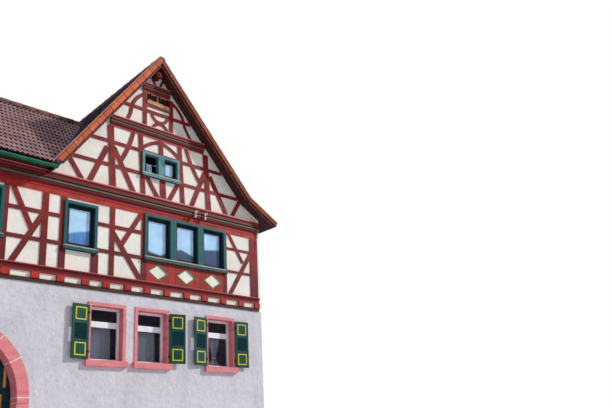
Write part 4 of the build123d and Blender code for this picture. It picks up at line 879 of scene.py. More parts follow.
# Geometry Nodes
class Tree:
    """A Geometry Nodes tree under construction, with named inputs."""

    def __init__(self, name, inputs):
        self.group = bpy.data.node_groups.new(name, "GeometryNodeTree")
        face = self.group.interface
        face.new_socket("Geometry", in_out="INPUT", socket_type="NodeSocketGeometry")
        for key, kind in (*inputs, ("Seed", "Int"), ("Material", "Material")):
            face.new_socket(key, in_out="INPUT", socket_type=f"NodeSocket{kind}")
        face.new_socket("Geometry", in_out="OUTPUT", socket_type="NodeSocketGeometry")
        self.start = self.group.nodes.new("NodeGroupInput")
        self.end = self.group.nodes.new("NodeGroupOutput")

    def given(self, key):
        """One of the tree's inputs."""
        return self.start.outputs[key]

    def node(self, kind, feeds=(), **settings):
        """A node with its settings, and its inputs linked or set."""
        made = self.group.nodes.new(kind)
        for key, value in settings.items():
            setattr(made, key, value)
        for key, value in dict(feeds).items():
            socket = made.inputs[key]
            if isinstance(value, bpy.types.NodeSocket):
                self.group.links.new(value, socket)
            else:
                socket.default_value = value
        return made

    def math(self, operation, first, second=0.0):
        """A sum on two values."""
        return self.node("ShaderNodeMath", {0: first, 1: second}, operation=operation).outputs[0]

    def times(self, first, second):
        """A product."""
        return self.math("MULTIPLY", first, second)

    def vector(self, x=0.0, y=0.0, z=0.0):
        """Three numbers as a vector."""
        return self.node("ShaderNodeCombineXYZ", {"X": x, "Y": y, "Z": z}).outputs[0]

    def random(self, low, high, step=0):
        """A random value for each point."""
        seed = self.math("ADD", self.given("Seed"), step)
        made = self.node("FunctionNodeRandomValue", {"Seed": seed}, data_type="FLOAT")
        for name, value in (("Min", low), ("Max", high)):
            socket = [s for s in made.inputs if s.name == name and s.enabled][0]
            socket.default_value = value
        return [s for s in made.outputs if s.enabled][0]

    def lay(self, points, rotation=None):
        """Lays the given piece on points, with a shade of its own for each."""
        feeds = {"Points": points, "Instance": self.given("Geometry")}
        if rotation:
            feeds["Rotation"] = rotation
        laid = self.node("GeometryNodeInstanceOnPoints", feeds).outputs["Instances"]
        kept = self.node(
            "GeometryNodeStoreNamedAttribute",
            {"Geometry": laid, "Name": "shade", "Value": self.random(0.0, 1.0)},
            data_type="FLOAT",
            domain="INSTANCE",
        ).outputs["Geometry"]
        solid = self.node("GeometryNodeRealizeInstances", {"Geometry": kept}).outputs[0]
        done = self.node(
            "GeometryNodeSetMaterial",
            {"Geometry": solid, "Material": self.given("Material")},
        ).outputs[0]
        self.group.links.new(done, self.end.inputs["Geometry"])
        return self.group


# How far a laid piece rocks, in radians, and how far it turns for each metre of slack
ROCK = 0.012
TURN_OF_SLACK = 3.0


def field_tree():
    """Rows of a piece laid in broken bond over a flat field."""
    tree = Tree(
        "tile_field",
        (
            ("Columns", "Int"),
            ("Rows", "Int"),
            ("Width", "Float"),
            ("Gauge", "Float"),
            ("Bond", "Float"),
            ("Slack", "Float"),
        ),
    )
    columns, rows = tree.given("Columns"), tree.given("Rows")
    wide = tree.times(tree.math("SUBTRACT", columns, 1), tree.given("Width"))
    high = tree.times(tree.math("SUBTRACT", rows, 1), tree.given("Gauge"))
    grid = tree.node(
        "GeometryNodeMeshGrid",
        {"Size X": wide, "Size Y": high, "Vertices X": columns, "Vertices Y": rows},
    ).outputs["Mesh"]
    place = tree.node("GeometryNodeInputPosition").outputs[0]
    parts = tree.node("ShaderNodeSeparateXYZ", {0: place})
    climbed = tree.math("ADD", parts.outputs["Y"], tree.times(high, 0.5))
    row = tree.math("ROUND", tree.math("DIVIDE", climbed, tree.given("Gauge")))
    bond = tree.times(tree.given("Width"), tree.given("Bond"))
    shift = tree.times(tree.math("MODULO", row, 2.0), bond)
    loose_x = tree.times(tree.random(-1.0, 1.0), tree.given("Slack"))
    loose_y = tree.times(tree.random(-1.0, 1.0, 1), tree.given("Slack"))
    across = tree.math("ADD", tree.times(wide, 0.5), tree.math("ADD", shift, loose_x))
    upward = tree.math("ADD", tree.times(high, 0.5), loose_y)
    moved = tree.node(
        "GeometryNodeSetPosition",
        {"Geometry": grid, "Offset": tree.vector(across, upward)},
    ).outputs[0]
    rock = tree.times(tree.random(-1.0, 1.0, 3), ROCK)
    most = tree.times(tree.given("Slack"), TURN_OF_SLACK)
    turn = tree.times(tree.random(-1.0, 1.0, 2), most)
    return tree.lay(moved, tree.vector(rock, 0.0, turn))


def row_tree():
    """One row of a piece, laid at even steps."""
    tree = Tree("piece_row", (("Count", "Int"), ("Step", "Vector"), ("Slack", "Float")))
    line = tree.node(
        "GeometryNodeMeshLine",
        {"Count": tree.given("Count"), "Offset": tree.given("Step")},
        mode="OFFSET",
    ).outputs[0]
    loose = tree.times(tree.random(-1.0, 1.0), tree.given("Slack"))
    moved = tree.node(
        "GeometryNodeSetPosition", {"Geometry": line, "Offset": tree.vector(loose)}
    ).outputs[0]
    return tree.lay(moved)


def ring_tree():
    """A piece laid round an arc in the plane of X and Z."""
    tree = Tree("piece_ring", (("Count", "Int"), ("Start", "Float"), ("Turn", "Float")))
    line = tree.node("GeometryNodeMeshLine", {"Count": tree.given("Count")}).outputs[0]
    index = tree.node("GeometryNodeInputIndex").outputs[0]
    angle = tree.math("ADD", tree.given("Start"), tree.times(index, tree.given("Turn")))
    still = tree.node(
        "GeometryNodeSetPosition", {"Geometry": line, "Position": tree.vector()}
    ).outputs[0]
    return tree.lay(still, tree.vector(0.0, angle, 0.0))


TREES = {}
TREE_MAKERS = {"field": field_tree, "row": row_tree, "ring": ring_tree}


def laid(name, kind, piece, material, **inputs):
    """The mesh that a tree makes of a piece, without the piece's own empty slot."""
    if kind not in TREES:
        TREES[kind] = TREE_MAKERS[kind]()
    holder = bpy.data.objects.new(name, piece)
    bpy.context.scene.collection.objects.link(holder)
    modifier = holder.modifiers.new(name, "NODES")
    modifier.node_group = TREES[kind]
    values = {"Seed": 1, **inputs, "Material": MATERIALS[material]}
    for item in modifier.node_group.interface.items_tree:
        if item.item_type == "SOCKET" and item.in_out == "INPUT" and item.name in values:
            modifier[item.identifier] = values[item.name]
    made = evaluated_mesh(holder, name)
    bpy.data.objects.remove(holder)
    if made.materials[0] is None:
        made.materials.pop(index=0)
    return made


# Roof pieces. Lengths are in metres.
CLAY = 0.016
TILE_STEPS = 16
TILE_RISE = 0.018
TILE_GAP = 0.002
TILE_SEAT = 0.004
TROUGH = 1.3
LAP = 0.06
VERGE_COVER = 0.15
VERGE_FLARE = 0.012
VERGE_ROLL = 0.045
VERGE_BED = 0.02
VERGE_START = 0.03
BACK_VERGE_INSET = 0.015
VERGE_SLACK = 0.001
TILE_START = 0.02
TILE_BOND = 0.25
TILE_SLACK = 0.003
SMOOTH_NORMAL_Z = 0.4
WELD = 0.0002
DECK_SHARE = 0.999


def roof_tile(width, gauge, wave, lift):
    """A clay tile with two troughs, its foot lifted over the tile below."""
    ends = (-LAP, gauge)
    form = bmesh.new()
    rows = []
    for place, raised in zip(ends, (lift, 0.0)):
        row = []
        for step in range(TILE_STEPS + 1):
            share = step / TILE_STEPS
            roll = (0.5 + 0.5 * math.cos(2 * math.tau * share)) ** TROUGH
            height = raised + wave * roll + CLAY
            row.append(form.verts.new((share * (width - TILE_GAP), place, height)))
        rows.append(row)
    base = []
    for place, raised in zip(ends, (lift - TILE_SEAT, -TILE_SEAT)):
        base.append([form.verts.new((x, place, raised)) for x in (0.0, width - TILE_GAP)])
    for step in range(TILE_STEPS):
        form.faces.new((rows[0][step], rows[0][step + 1], rows[1][step + 1], rows[1][step]))
    for top, low in zip(rows, base):
        form.faces.new([low[0], *top, low[1]])
    form.faces.new((base[0][0], base[0][1], base[1][1], base[1][0]))
    form.faces.new((base[0][0], rows[0][0], rows[1][0], base[1][0]))
    form.faces.new((base[0][1], rows[0][-1], rows[1][-1], base[1][1]))
    bmesh.ops.recalc_face_normals(form, faces=form.faces)
    for face in form.faces:
        face.smooth = len(face.verts) == 4 and face.normal.z > SMOOTH_NORMAL_Z
    return mesh_of(form, "tile")


def ridge_cap(radius, long, narrow=0.9, skirt=0.45, steps=14):
    """A ridge tile along Y, wider at its far end, with skirts below its middle."""
    form = bmesh.new()
    rings = []
    for y, size in ((0.0, narrow), (long, 1.0)):
        for inset in (0.0, CLAY):
            ring = []
            for step in range(steps + 1):
                angle = -skirt + (math.pi + 2 * skirt) * step / steps
                reach = radius * size - inset
                place = (-math.cos(angle) * reach, y, math.sin(angle) * reach)
                ring.append(form.verts.new(place))
            rings.append(ring)
    near_out, near_in, far_out, far_in = rings
    for a, b in ((near_out, far_out), (far_in, near_in), (near_in, near_out), (far_out, far_in)):
        for step in range(steps):
            form.faces.new((a[step], a[step + 1], b[step + 1], b[step]))
    for end in (0, -1):
        form.faces.new((near_out[end], far_out[end], far_in[end], near_in[end]))
    bmesh.ops.recalc_face_normals(form, faces=form.faces)
    for face in form.faces:
        face.smooth = abs(face.normal.y) < 0.5
    return mesh_of(form, "ridge_cap")


def verge_tile(gauge, drop):
    """A tile bent down over the roof's edge, its foot standing out and lifted."""
    work = Work("verge_tile")
    for right, foot in ((CLAY, -drop), (VERGE_COVER, 0.0)):
        corners = []
        for place, out in ((-LAP / 2, VERGE_FLARE), (gauge, 0.0)):
            ring = []
            for x, z in rectangle(0.0, right, foot, VERGE_BED):
                lifted = z + out if z >= 0 else z - out
                ring.append(work.form.verts.new((x - out, place, lifted)))
            corners.append(ring)
        near, far = corners
        work.form.faces.new(near)
        work.form.faces.new(reversed(far))
        for number in range(4):
            following = (number + 1) % 4
            work.form.faces.new((near[following], near[number], far[number], far[following]))
    roll = VERGE_ROLL
    work.rod((roll, -LAP / 2, roll * 0.55), (roll, gauge, roll * 0.4), roll)
    return work.mesh(0.002)


def tile_rows(name, slope, sizes, seed, finish="tile"):
    """The tiles of one slope, still unclipped."""
    columns = math.ceil(slope.width / sizes.tile_width) + 1
    rows = math.ceil(slope.length / sizes.tile_gauge) + 1
    piece = roof_tile(sizes.tile_width, sizes.tile_gauge, sizes.tile_wave, sizes.tile_lift)
    mesh = laid(
        name,
        "field",
        piece,
        finish,
        Columns=columns,
        Rows=rows,
        Width=sizes.tile_width,
        Gauge=sizes.tile_gauge,
        Bond=TILE_BOND,
        Slack=TILE_SLACK,
        Seed=sizes.seed + seed,
    )
    top = sizes.tile_lift + sizes.tile_wave + CLAY
    mesh.transform(slope.matrix(-sizes.tile_width / 2, TILE_START, TILE_RISE - top))
    return mesh


def verge_row(name, slope, sizes, back=False, finish="verge"):
    """The verge tiles up the street or back edge of a slope."""
    count = round(slope.length / sizes.verge_gauge)
    gauge = (slope.length - VERGE_START) / count
    piece = verge_tile(gauge, sizes.verge_drop)
    mesh = laid(
        name,
        "row",
        piece,
        finish,
        Count=count,
        Step=(0, gauge, 0),
        Slack=VERGE_SLACK,
        Seed=sizes.seed + len(name),
    )
    inset = BACK_VERGE_INSET if back else 0.0
    mesh.transform(slope.edge_matrix(back) @ Matrix.Translation((inset, VERGE_START, 0.0)))
    return mesh


def edges_of(slope):
    """Cutting planes that keep work within a slope's own edges."""
    return [
        (CAD_BOX[1], Vector((-1, 0, 0))),
        (CAD_BOX[1], -UP),
        (slope.at(0, 0), slope.along),
        (slope.at(slope.width, 0), -slope.along),
        (slope.at(0, 0), slope.up),
        (slope.at(0, slope.length), -slope.up),
    ]


def deck_of(name, node, slopes, sizes, inset=0.0):
    """The boarded deck under the tiles: the slab with its top cut down, and its ends
    set back behind the verge tiles."""
    form = bmesh.new()
    form.from_mesh(NODES[node].data)
    bmesh.ops.remove_doubles(form, verts=form.verts, dist=WELD)
    for slope in slopes:
        for vertex in form.verts:
            if abs((vertex.co - slope.point).dot(slope.normal)) < CLEARANCE:
                vertex.co.z -= sizes.tile_bed / slope.normal.z * DECK_SHARE
    low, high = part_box(node)
    for vertex in form.verts:
        if vertex.co.y < low.y + CLEARANCE:
            vertex.co.y += inset
        elif vertex.co.y > high.y - CLEARANCE:
            vertex.co.y -= 2 * inset
    mesh = mesh_of(form, name)
    mesh.materials.clear()
    mesh.materials.append(MATERIALS["soffit"])
    return mesh


def crossing(slope, other, y):
    """The place at a depth where a slope of the wing meets one of the main roof."""
    point, normal = slope.plane()
    z = (normal.dot(point) - normal.y * y) / normal.z
    point, normal = other.plane()
    return Vector(((normal.dot(point) - normal.z * z) / normal.x, y, z))


# Cloth. Its thickness is in metres, and its sway in radians.
CLOTH = 0.001
FOLD_STEPS = 16
FOLD_COLUMNS = 14
CURTAIN_ROWS = 28
HALVINGS = 30
SWAY = 0.1
SWAY_ACROSS = 3
SWAY_DOWN = 2.2


def fold_length(width, folds, depth):
    """The length of cloth in a row of even folds."""
    steps = FOLD_STEPS * folds
    total = 0.0
    last = 0.0
    for step in range(1, steps + 1):
        out = depth * math.sin(math.tau * folds * step / steps)
        total += math.hypot(width / steps, out - last)
        last = out
    return total


def fold_depth(cloth, width, folds):
    """How deep the folds are when cloth of a length fills a width."""
    low, high = 0.0, cloth / folds
    for _ in range(HALVINGS):
        middle = (low + high) / 2
        if fold_length(width, folds, middle) < cloth:
            low = middle
        else:
            high = middle
    return low


def hang_curtain(name, spans, cloth, depth, spacing):
    """A curtain on a rod. spans are its left and right edge at each height, from the
    head down, and cloth its flat width. It keeps that width at every height."""
    folds = max(3, round(cloth / spacing))
    columns, rows = folds * FOLD_COLUMNS, CURTAIN_ROWS
    head, foot = spans[0][0], spans[-1][0]
    form = bmesh.new()
    grid = []
    for row in range(rows + 1):
        z = head + (foot - head) * row / rows
        for (high, left_a, right_a), (low, left_b, right_b) in zip(spans, spans[1:]):
            if low <= z + 1e-6:
                share = (high - z) / (high - low)
                ease = share * share * (3 - 2 * share)
                left = left_a + (left_b - left_a) * ease
                right = right_a + (right_b - right_a) * ease
                break
        deep = fold_depth(cloth, right - left, folds)
        line = []
        for column in range(columns + 1):
            share = column / columns
            sway = SWAY * math.sin(SWAY_ACROSS * share + SWAY_DOWN * row / rows)
            out = deep * math.sin(math.tau * folds * share + sway)
            line.append(form.verts.new((left + (right - left) * share, depth + out, z)))
        grid.append(line)
    for row in range(rows):
        for column in range(columns):
            a, b = grid[row][column], grid[row][column + 1]
            c, d = grid[row + 1][column + 1], grid[row + 1][column]
            form.faces.new((a, d, c, b)).smooth = True
    mesh = modified(mesh_of(form, name), "SOLIDIFY", thickness=CLOTH)
    curtain = add_piece(name, mesh, "curtain")
    return curtain


# Operators
class HOUSE_OT_materials(bpy.types.Operator):
    """Make the finishes of the house"""

    bl_idname = "house.materials"
    bl_label = "Make the finishes"

    def execute(self, context):
        scene = context.scene
        MATERIALS.update(make_materials(scene.house_colours, scene.house_sizes))
        return {"FINISHED"}


class HOUSE_OT_masonry(bpy.types.Operator):
    """Dress the rendered walls and the floors"""

    bl_idname = "house.masonry"
    bl_label = "Dress walls and floors"

    def execute(self, context):
        for node in NODES:
            if node.endswith("_wall") or node.startswith("gate_wall"):
                dress(node, "render")
            elif node.endswith("_floor"):
                dress(node, "floor")
        return {"FINISHED"}


# Stonework. Lengths are in metres.
ARCH_RING = 0.27
ARCH_JOINTS = 7
FIRST_JOINT = math.radians(-30)
JOINT_TURN = math.radians(-20)
IMPOST = 0.12
IMPOST_REACH = 0.02
JAMB_BEDS = (1.16, 0.58)
MORTAR_PROUD = 0.0015
SURROUND_BED = 0.003
SURROUND_FRONT = -0.026
SURROUND_BACK = 0.28


class HOUSE_OT_stonework(bpy.types.Operator):
    """Dress the sandstone of gate and windows, with its joints"""

    bl_idname = "house.stonework"
    bl_label = "Dress the stonework"

    def execute(self, context):
        sizes = context.scene.house_sizes
        for node in ("gate_jambs", "gate_arch", "window_surrounds"):
            dress(node, "stone")
        outer = (ARCH_HIGH.x - ARCH_LOW.x) / 2 + MORTAR_PROUD
        inner = outer - ARCH_RING - 2 * MORTAR_PROUD
        near, far = ARCH_LOW.y - MORTAR_PROUD, ARCH_HIGH.y + MORTAR_PROUD
        half = sizes.joint / 2
        slab = Work("slab", "mortar")
        slab.box((inner, near, -half), (outer, far, half))
        joints = laid(
            "arch_joints",
            "ring",
            slab.mesh(0),
            "mortar",
            Count=ARCH_JOINTS,
            Start=FIRST_JOINT,
            Turn=JOINT_TURN,
        )
        joints.transform(Matrix.Translation((ARCH_X, 0, SPRING)))
        level = Work("level_joints", "mortar")
        beds = [(SPRING, IMPOST_REACH), (SPRING - IMPOST, 0.0)]
        beds += [(z, 0.0) for z in JAMB_BEDS]
        for side in (-1, 1):
            for z, out in beds:
                edges = sorted((ARCH_X + side * inner, ARCH_X + side * outer))
                level.box((edges[0], near - out, z - half), (edges[1], far, z + half))
        mesh = joined("gate_joints", (joints, level.mesh(0)))
        add_piece("gate_joints", mesh)

        bed = Work("surround_joints", "mortar")
        reaches = (LOWER_HALF - CLEARANCE, LOWER_HALF + SURROUND)
        for middle in LOWER_MIDDLES:
            for side in (-1, 1):
                edges = sorted(middle + side * reach for reach in reaches)
                bed.box(
                    (edges[0], SURROUND_FRONT, LOWER_HEAD - SURROUND_BED),
                    (edges[1], SURROUND_BACK, LOWER_HEAD + SURROUND_BED),
                )
        bed.piece(slot="sandstone", bevel=0)
        return {"FINISHED"}


# Framing. Lengths are in metres. A ring of the purlin is its back and front, its
# radius, its finish and its sides, and a holder is the middle of one.
PLATE = 0.15
PURLIN_Z = 11.2
PURLIN_RINGS = (
    (0.04, -0.24, 0.105, 1, 20),
    (-0.2, -0.225, 0.12, 0, 20),
    (-0.24, -0.262, 0.085, 0, 20),
    (-0.26, -0.285, 0.035, 1, 16),
)
HOLDERS = (1.03, 1.37)
HOLDER_HALF = 0.022
HOLDER_FOOT, HOLDER_HEAD = 7.07, 7.27
HATCH_FACE = 0.012
HATCH_FOOT = 0.19
HATCH_SILL_TOP = 0.18
HATCH_TILT = math.radians(2.0)
HATCH_GAPS = (0.16, 0.55, 0.74, 0.9)
HATCH_GAP = 0.018


class HOUSE_OT_framing(bpy.types.Operator):
    """Dress timbers, beams and the plaster between them"""

    bl_idname = "house.framing"
    bl_label = "Dress the framing"

    def execute(self, context):
        cornice_foot = MOULDINGS[0][0]

        def plate_part(middle):
            """The plate below the main cornice is the brighter red."""
            return "joist" if cornice_foot - PLATE < middle.z < cornice_foot else None

        for node in NODES:
            if node.endswith("_infill"):
                dress(node, "plaster")
            elif node.endswith("_frame"):
                dress(node, "timber", plate_part)
        dress("base_beam", "base")
        dress("sill_beam", "sill_beam")
        dress("joist_ends", "joist")
        dress("cornices", "cornice")
        dress("parapet_panels", "parapet")
        dress("parapet_lozenges", "lozenge")

        def hatch_part(middle):
            """The sill board and the post stand before the boards."""
            if middle.y > HATCH_FACE:
                return None
            return "rubble" if middle.z < HATCH_LOW.z + HATCH_FOOT else "post_grey"

        dress("loft_hatch", "hatch", hatch_part)
        self.add_purlin()
        self.add_holders()
        self.add_hatch_sill()
        return {"FINISHED"}

    def add_purlin(self):
        """The rounded end of the ridge purlin below the gable's point."""
        work = Work("ridge_purlin", "timber", "base")
        for back, front, radius, finish, sides in PURLIN_RINGS:
            start, end = (RIDGE_X, back, PURLIN_Z), (RIDGE_X, front, PURLIN_Z)
            work.rod(start, end, radius, finish, sides)
        work.piece(slot="red_timber", bevel=0.006)

    def add_holders(self):
        """Two small wall holders on the main cornice."""
        work = Work("cornice_holders", "sill_pale", "iron")
        face = CORNICE_FACE
        for x in HOLDERS:
            work.box(
                (x - HOLDER_HALF, face - 0.016, HOLDER_FOOT),
                (x + HOLDER_HALF, face + 0.03, HOLDER_HEAD),
            )
            arm, tip = HOLDER_FOOT + 0.09, HOLDER_FOOT + 0.115
            work.rod((x, face - 0.01, arm), (x, face - 0.075, arm + 0.04), 0.011, 1)
            work.rod((x, face - 0.07, tip), (x, face - 0.095, HOLDER_HEAD - 0.01), 0.016)
        work.piece(bevel=0.003)

    def add_hatch_sill(self):
        """The hatch's weathered sill of two boards, and dark strips of painted shade in the gaps
        between its boards.
        """
        work = Work("loft_sill", "hatch_sill", "painted_shadow")
        left, right, top = HATCH_LOW.x, HATCH_HIGH.x, HATCH_LOW.z + HATCH_SILL_TOP
        tilt = Matrix.Translation((0, 0, top)) @ Matrix.Rotation(HATCH_TILT, 4, "Y")
        work.box((left + 0.01, -0.034, -0.105), (right - 0.02, -0.008, -0.012), tilt)
        work.box((left + 0.02, -0.046, -0.022), (right - 0.05, -0.008, 0.0), tilt)
        # Painted shade: dark strips in the gaps between the boards.
        for share in HATCH_GAPS:
            x = left + (right - left) * share
            work.box((x, -0.004, top), (x + HATCH_GAP, 0.02, HATCH_HIGH.z), finish=1)
        work.piece(bevel=0.003)


# Windows. Lengths are in metres. A strip on a sill board is how far its ends pass the
# board, its front, its foot and head over the board, and its finish.
STRIPS = (
    (0.02, -0.088, 0.0, 0.012, 0),
    (-0.03, -0.068, 0.012, 0.024, 1),
    (-0.04, -0.058, 0.024, 0.036, 0),
)
STRIP_BACK = -0.044
SILL_JOINT_STEP = 0.62
SILL_JOINT_HALF = 0.016
ROD = 0.006
SMALL_ROD = 0.005
SMALL_ROD_Y = 0.15
SMALL_ROD_Z = 8.46
CURTAIN_Y = FRAME_BACK + 0.055
CURTAIN_HEAD = TRANSOM_FOOT + 0.02
CURTAIN_FOOT = LOWER_FOOT + 0.07
CURTAIN_WIDTH = 0.86
TIED_WIDTH = 0.56
SMALL_WIDTH = 0.3
SMALL_FOOT = 8.165
TIE_Z = 3.07
TIE_HALF, TIE_DEPTH, TIE_CLOTH = 0.088, 0.04, 0.006
TIE_SIDES = 20


class HOUSE_OT_windows(bpy.types.Operator):
    """Dress casings, sashes, frames and glass, and hang the curtains"""

    bl_idname = "house.windows"
    bl_label = "Dress the windows"

    def execute(self, context):
        sizes = context.scene.house_sizes
        dress("upper_casings", "casing")
        dress("upper_sashes", "sash")
        dress("ground_window_frames", "white")
        dress(
            "window_glass",
            "sky_reflection_glass",
            lambda middle: "room_glass" if middle.z < SILL_LOW.z else None,
        )
        self.add_sills()
        self.add_curtains(sizes.fold)
        return {"FINISHED"}

    def add_sills(self):
        """Capping strips on the painted sill boards, the joints of the boards, and a dark strip
        of painted shadow under each board's front edge.
        """
        work = Work("sill_caps", "sill_pale", "sill_brown", "casing", "painted_shadow")
        for left, right, foot in UPPER_SILLS:
            top = foot + SILL_BOARD
            for past, face, low, high, finish in STRIPS:
                work.box(
                    (left - past, face, top + low),
                    (right + past, STRIP_BACK, top + high),
                    finish=finish,
                )
            # Painted shadow: a dark strip under the board's front edge.
            work.box(
                (left - 0.012, -0.0905, foot - 0.006),
                (right + 0.012, -0.05, foot + 0.004),
                finish=3,
            )
            count = max(2, round((right - left) / SILL_JOINT_STEP))
            for number in range(count + 1):
                x = left + 0.02 + (right - left - 0.04) * number / count
                work.box(
                    (x - SILL_JOINT_HALF, -0.094, foot + 0.004),
                    (x + SILL_JOINT_HALF, -0.086, top + 0.002),
                    finish=2,
                )
        work.piece(bevel=0.002)

    def add_curtains(self, fold):
        """Curtains behind the lower lights, and one behind the open light above."""
        self.add_rods()
        for name, middle in zip(("left_curtain", "middle_curtain"), LOWER_MIDDLES):
            left, right = middle - 0.345, middle + 0.25
            spans = ((CURTAIN_HEAD, left, right), (CURTAIN_FOOT, left + 0.01, right + 0.01))
            hang_curtain(name, spans, CURTAIN_WIDTH, CURTAIN_Y, fold)

        middle = LOWER_MIDDLES[2] - 0.015
        wide, waist = 0.2, 0.076
        spans = (
            (CURTAIN_HEAD, middle - wide, middle + wide),
            (TIE_Z + 0.02, middle - waist, middle + waist),
            (TIE_Z - 0.02, middle - waist, middle + waist),
            (CURTAIN_FOOT, middle - wide, middle + wide),
        )
        tie = (self.add_tie(middle),)
        hang_curtain("tied_curtain", spans, TIED_WIDTH, CURTAIN_Y, fold)

        left = OPEN_LIGHT[0] + 0.155
        spans = ((SMALL_ROD_Z, left, left + 0.16), (SMALL_FOOT, left + 0.004, left + 0.19))
        hang_curtain(
            "gable_curtain", spans, SMALL_WIDTH, SMALL_ROD_Y, fold * 0.7
        )

    def add_rods(self):
        """The curtain rods, on small blocks behind the frames."""
        work = Work("curtain_rods", "white")
        for middle in LOWER_MIDDLES:
            left, right = middle - LOWER_HALF + 0.02, middle + LOWER_HALF - 0.02
            start, end = (left, CURTAIN_Y, CURTAIN_HEAD), (right, CURTAIN_Y, CURTAIN_HEAD)
            work.rod(start, end, ROD)
            for x in (left + 0.012, right - 0.012):
                work.box(
                    (x - 0.008, FRAME_BACK - 0.002, CURTAIN_HEAD - 0.01),
                    (x + 0.008, CURTAIN_Y + 0.004, CURTAIN_HEAD + 0.01),
                )
        left, right = OPEN_LIGHT
        work.rod(
            (left + 0.145, SMALL_ROD_Y, SMALL_ROD_Z),
            (right + 0.02, SMALL_ROD_Y, SMALL_ROD_Z),
            SMALL_ROD,
        )
        work.box(
            (right - 0.012, 0.108, SMALL_ROD_Z - 0.012),
            (right + 0.026, 0.158, SMALL_ROD_Z + 0.012),
        )
        work.piece(slot="white_paint", bevel=0.001)

    def add_tie(self, middle):
        """The band that gathers the right window's curtain."""
        work = Work("curtain_tie", "curtain")
        turn = Matrix.Rotation(math.pi / 2, 4, "X")
        place = Matrix.Translation((middle, CURTAIN_Y, TIE_Z)) @ turn
        outer = ellipse(TIE_HALF, TIE_DEPTH, TIE_SIDES)
        inner = ellipse(TIE_HALF - TIE_CLOTH, TIE_DEPTH - TIE_CLOTH, TIE_SIDES)
        work.loop(outer, inner, -0.016, 0.016, place)
        return work.piece(bevel=0.001)


# Shutters and gate, in metres. A shutter is the side of its window that it hangs on,
# its node and the degrees that it stands off the wall. Sides and depths on a shutter
# are from its hinge, stripes are from the gate's middle, and heights are from the
# ground.
SHUTTERS = (
    (-1, "left_window_shutter", 5),
    (1, "middle_window_shutter", 12),
    (-1, "right_window_shutter_left", 6),
    (1, "right_window_shutter_right", 5),
)
PANEL_SIDES = (0.078, 0.409)
PANEL_FEET = (2.852, 3.728)
PANEL_HEIGHT = 0.35
PANEL_INSET = 0.013
LOUVRES = (3.28, 3.65)
SHUTTER_FACE = -0.017
STRAPS = (2.98, 3.95)
STRAP_SIDES = (0.012, 0.07)
STRAP_HALF = 0.02
STRAP_NAIL = 0.055
NAIL = 0.009
GATE_RADIUS = 1.52
GATE_FACE = 0.356
RAIL_OVER_SPRING = 0.25
FIRST_STRIPE = 0.125
STRIPE_STEP = 0.25
SHORTEST_STRIPE = 0.1
FIRST_SLAT = 0.209
LAST_SLAT = 1.32
SLAT_STEP = 0.1
SLAT_SPANS = ((0.21, 0.94), (1.1, 1.95))
RAIL_NAILS = (0.13, 1.02, 2.03)
RAIL_NAIL = 0.011


class HOUSE_OT_leaves(bpy.types.Operator):
    """Dress the shutters and the gate leaves with their pins"""

    bl_idname = "house.leaves"
    bl_label = "Dress shutters and gate"

    def execute(self, context):
        sizes = context.scene.house_sizes
        for side, name, angle in SHUTTERS:
            self.dress_shutter(name, side, math.radians(angle), sizes.line)
        for side, name in ((-1, "gate_leaf_left"), (1, "gate_leaf_right")):
            dress(name, "gate")
            self.stripe_gate(name, side, sizes)
        dress("hinge_pins", "iron")
        return {"FINISHED"}

    def dress_shutter(self, name, side, angle, line):
        """Paints a shutter: mouldings round its panels, dark louvres and hinge straps.
        side is the side of its window that it hangs on."""
        hinge = Vector(JOINTS[name]["pos_m"])
        hinge.z = 0
        along = Vector((side * math.cos(angle), -math.sin(angle), 0))
        inward = Vector((side * math.sin(angle), math.cos(angle), 0))
        place = Matrix.Translation(hinge) @ axes(along, inward, UP)
        back = place.inverted()
        inner, outer = PANEL_SIDES
        face = SHUTTER_FACE

        def part(middle):
            """Louvres lie between the stiles at the middle of the leaf."""
            at = back @ middle
            between = inner + CLEARANCE < at.x < outer - CLEARANCE
            return "louvre" if between and LOUVRES[0] < at.z < LOUVRES[1] else None

        dress(name, "shutter", part)
        work = Work(name.replace("shutter", "trim"), "line", "iron")
        for foot in PANEL_FEET:
            head = foot + PANEL_HEIGHT
            edge = rectangle(inner, outer, foot, head, PANEL_INSET)
            rim = rectangle(inner, outer, foot, head, PANEL_INSET + line)
            work.loop(edge, rim, face - 0.004, face + 0.008, place)
        for z in STRAPS:
            low = (STRAP_SIDES[0], face - 0.004, z - STRAP_HALF)
            high = (STRAP_SIDES[1], face + 0.006, z + STRAP_HALF)
            work.box(low, high, place, 1)
            tip, foot = (place @ Vector((STRAP_NAIL, y, z)) for y in (face - 0.006, face))
            work.rod(tip, foot, NAIL, 1)
        work.piece(name, bevel=0.002)

    def stripe_gate(self, name, side, sizes):
        """Painted stripes on a gate leaf: broad ones above its rail and narrow ones on
        the slats, with the nails of the rails."""
        face = GATE_FACE
        rail = SPRING + RAIL_OVER_SPRING
        work = Work(name.replace("leaf", "stripes"), "gate_line", "iron")
        half = sizes.stripe / 2
        place = FIRST_STRIPE
        while place + half < GATE_RADIUS:
            left, right = place - half, place + half
            tops = [math.sqrt(GATE_RADIUS**2 - edge**2) + SPRING for edge in (left, right)]
            if min(tops) > rail + SHORTEST_STRIPE:
                outline = (
                    (ARCH_X + side * left, rail),
                    (ARCH_X + side * right, rail),
                    (ARCH_X + side * right, tops[1]),
                    (ARCH_X + side * left, tops[0]),
                )
                work.prism(outline, face - 0.004, face + 0.002)
            place += STRIPE_STEP
        half = sizes.slat_stripe / 2
        place = FIRST_SLAT
        while place < LAST_SLAT:
            x = ARCH_X + side * place
            for foot, head in SLAT_SPANS:
                work.box((x - half, face - 0.004, foot), (x + half, face + 0.002, head))
            for z in RAIL_NAILS:
                work.rod((x, face - 0.005, z), (x, face + 0.002, z), RAIL_NAIL, 1)
            place += SLAT_STEP
        work.piece(name, bevel=0.001)


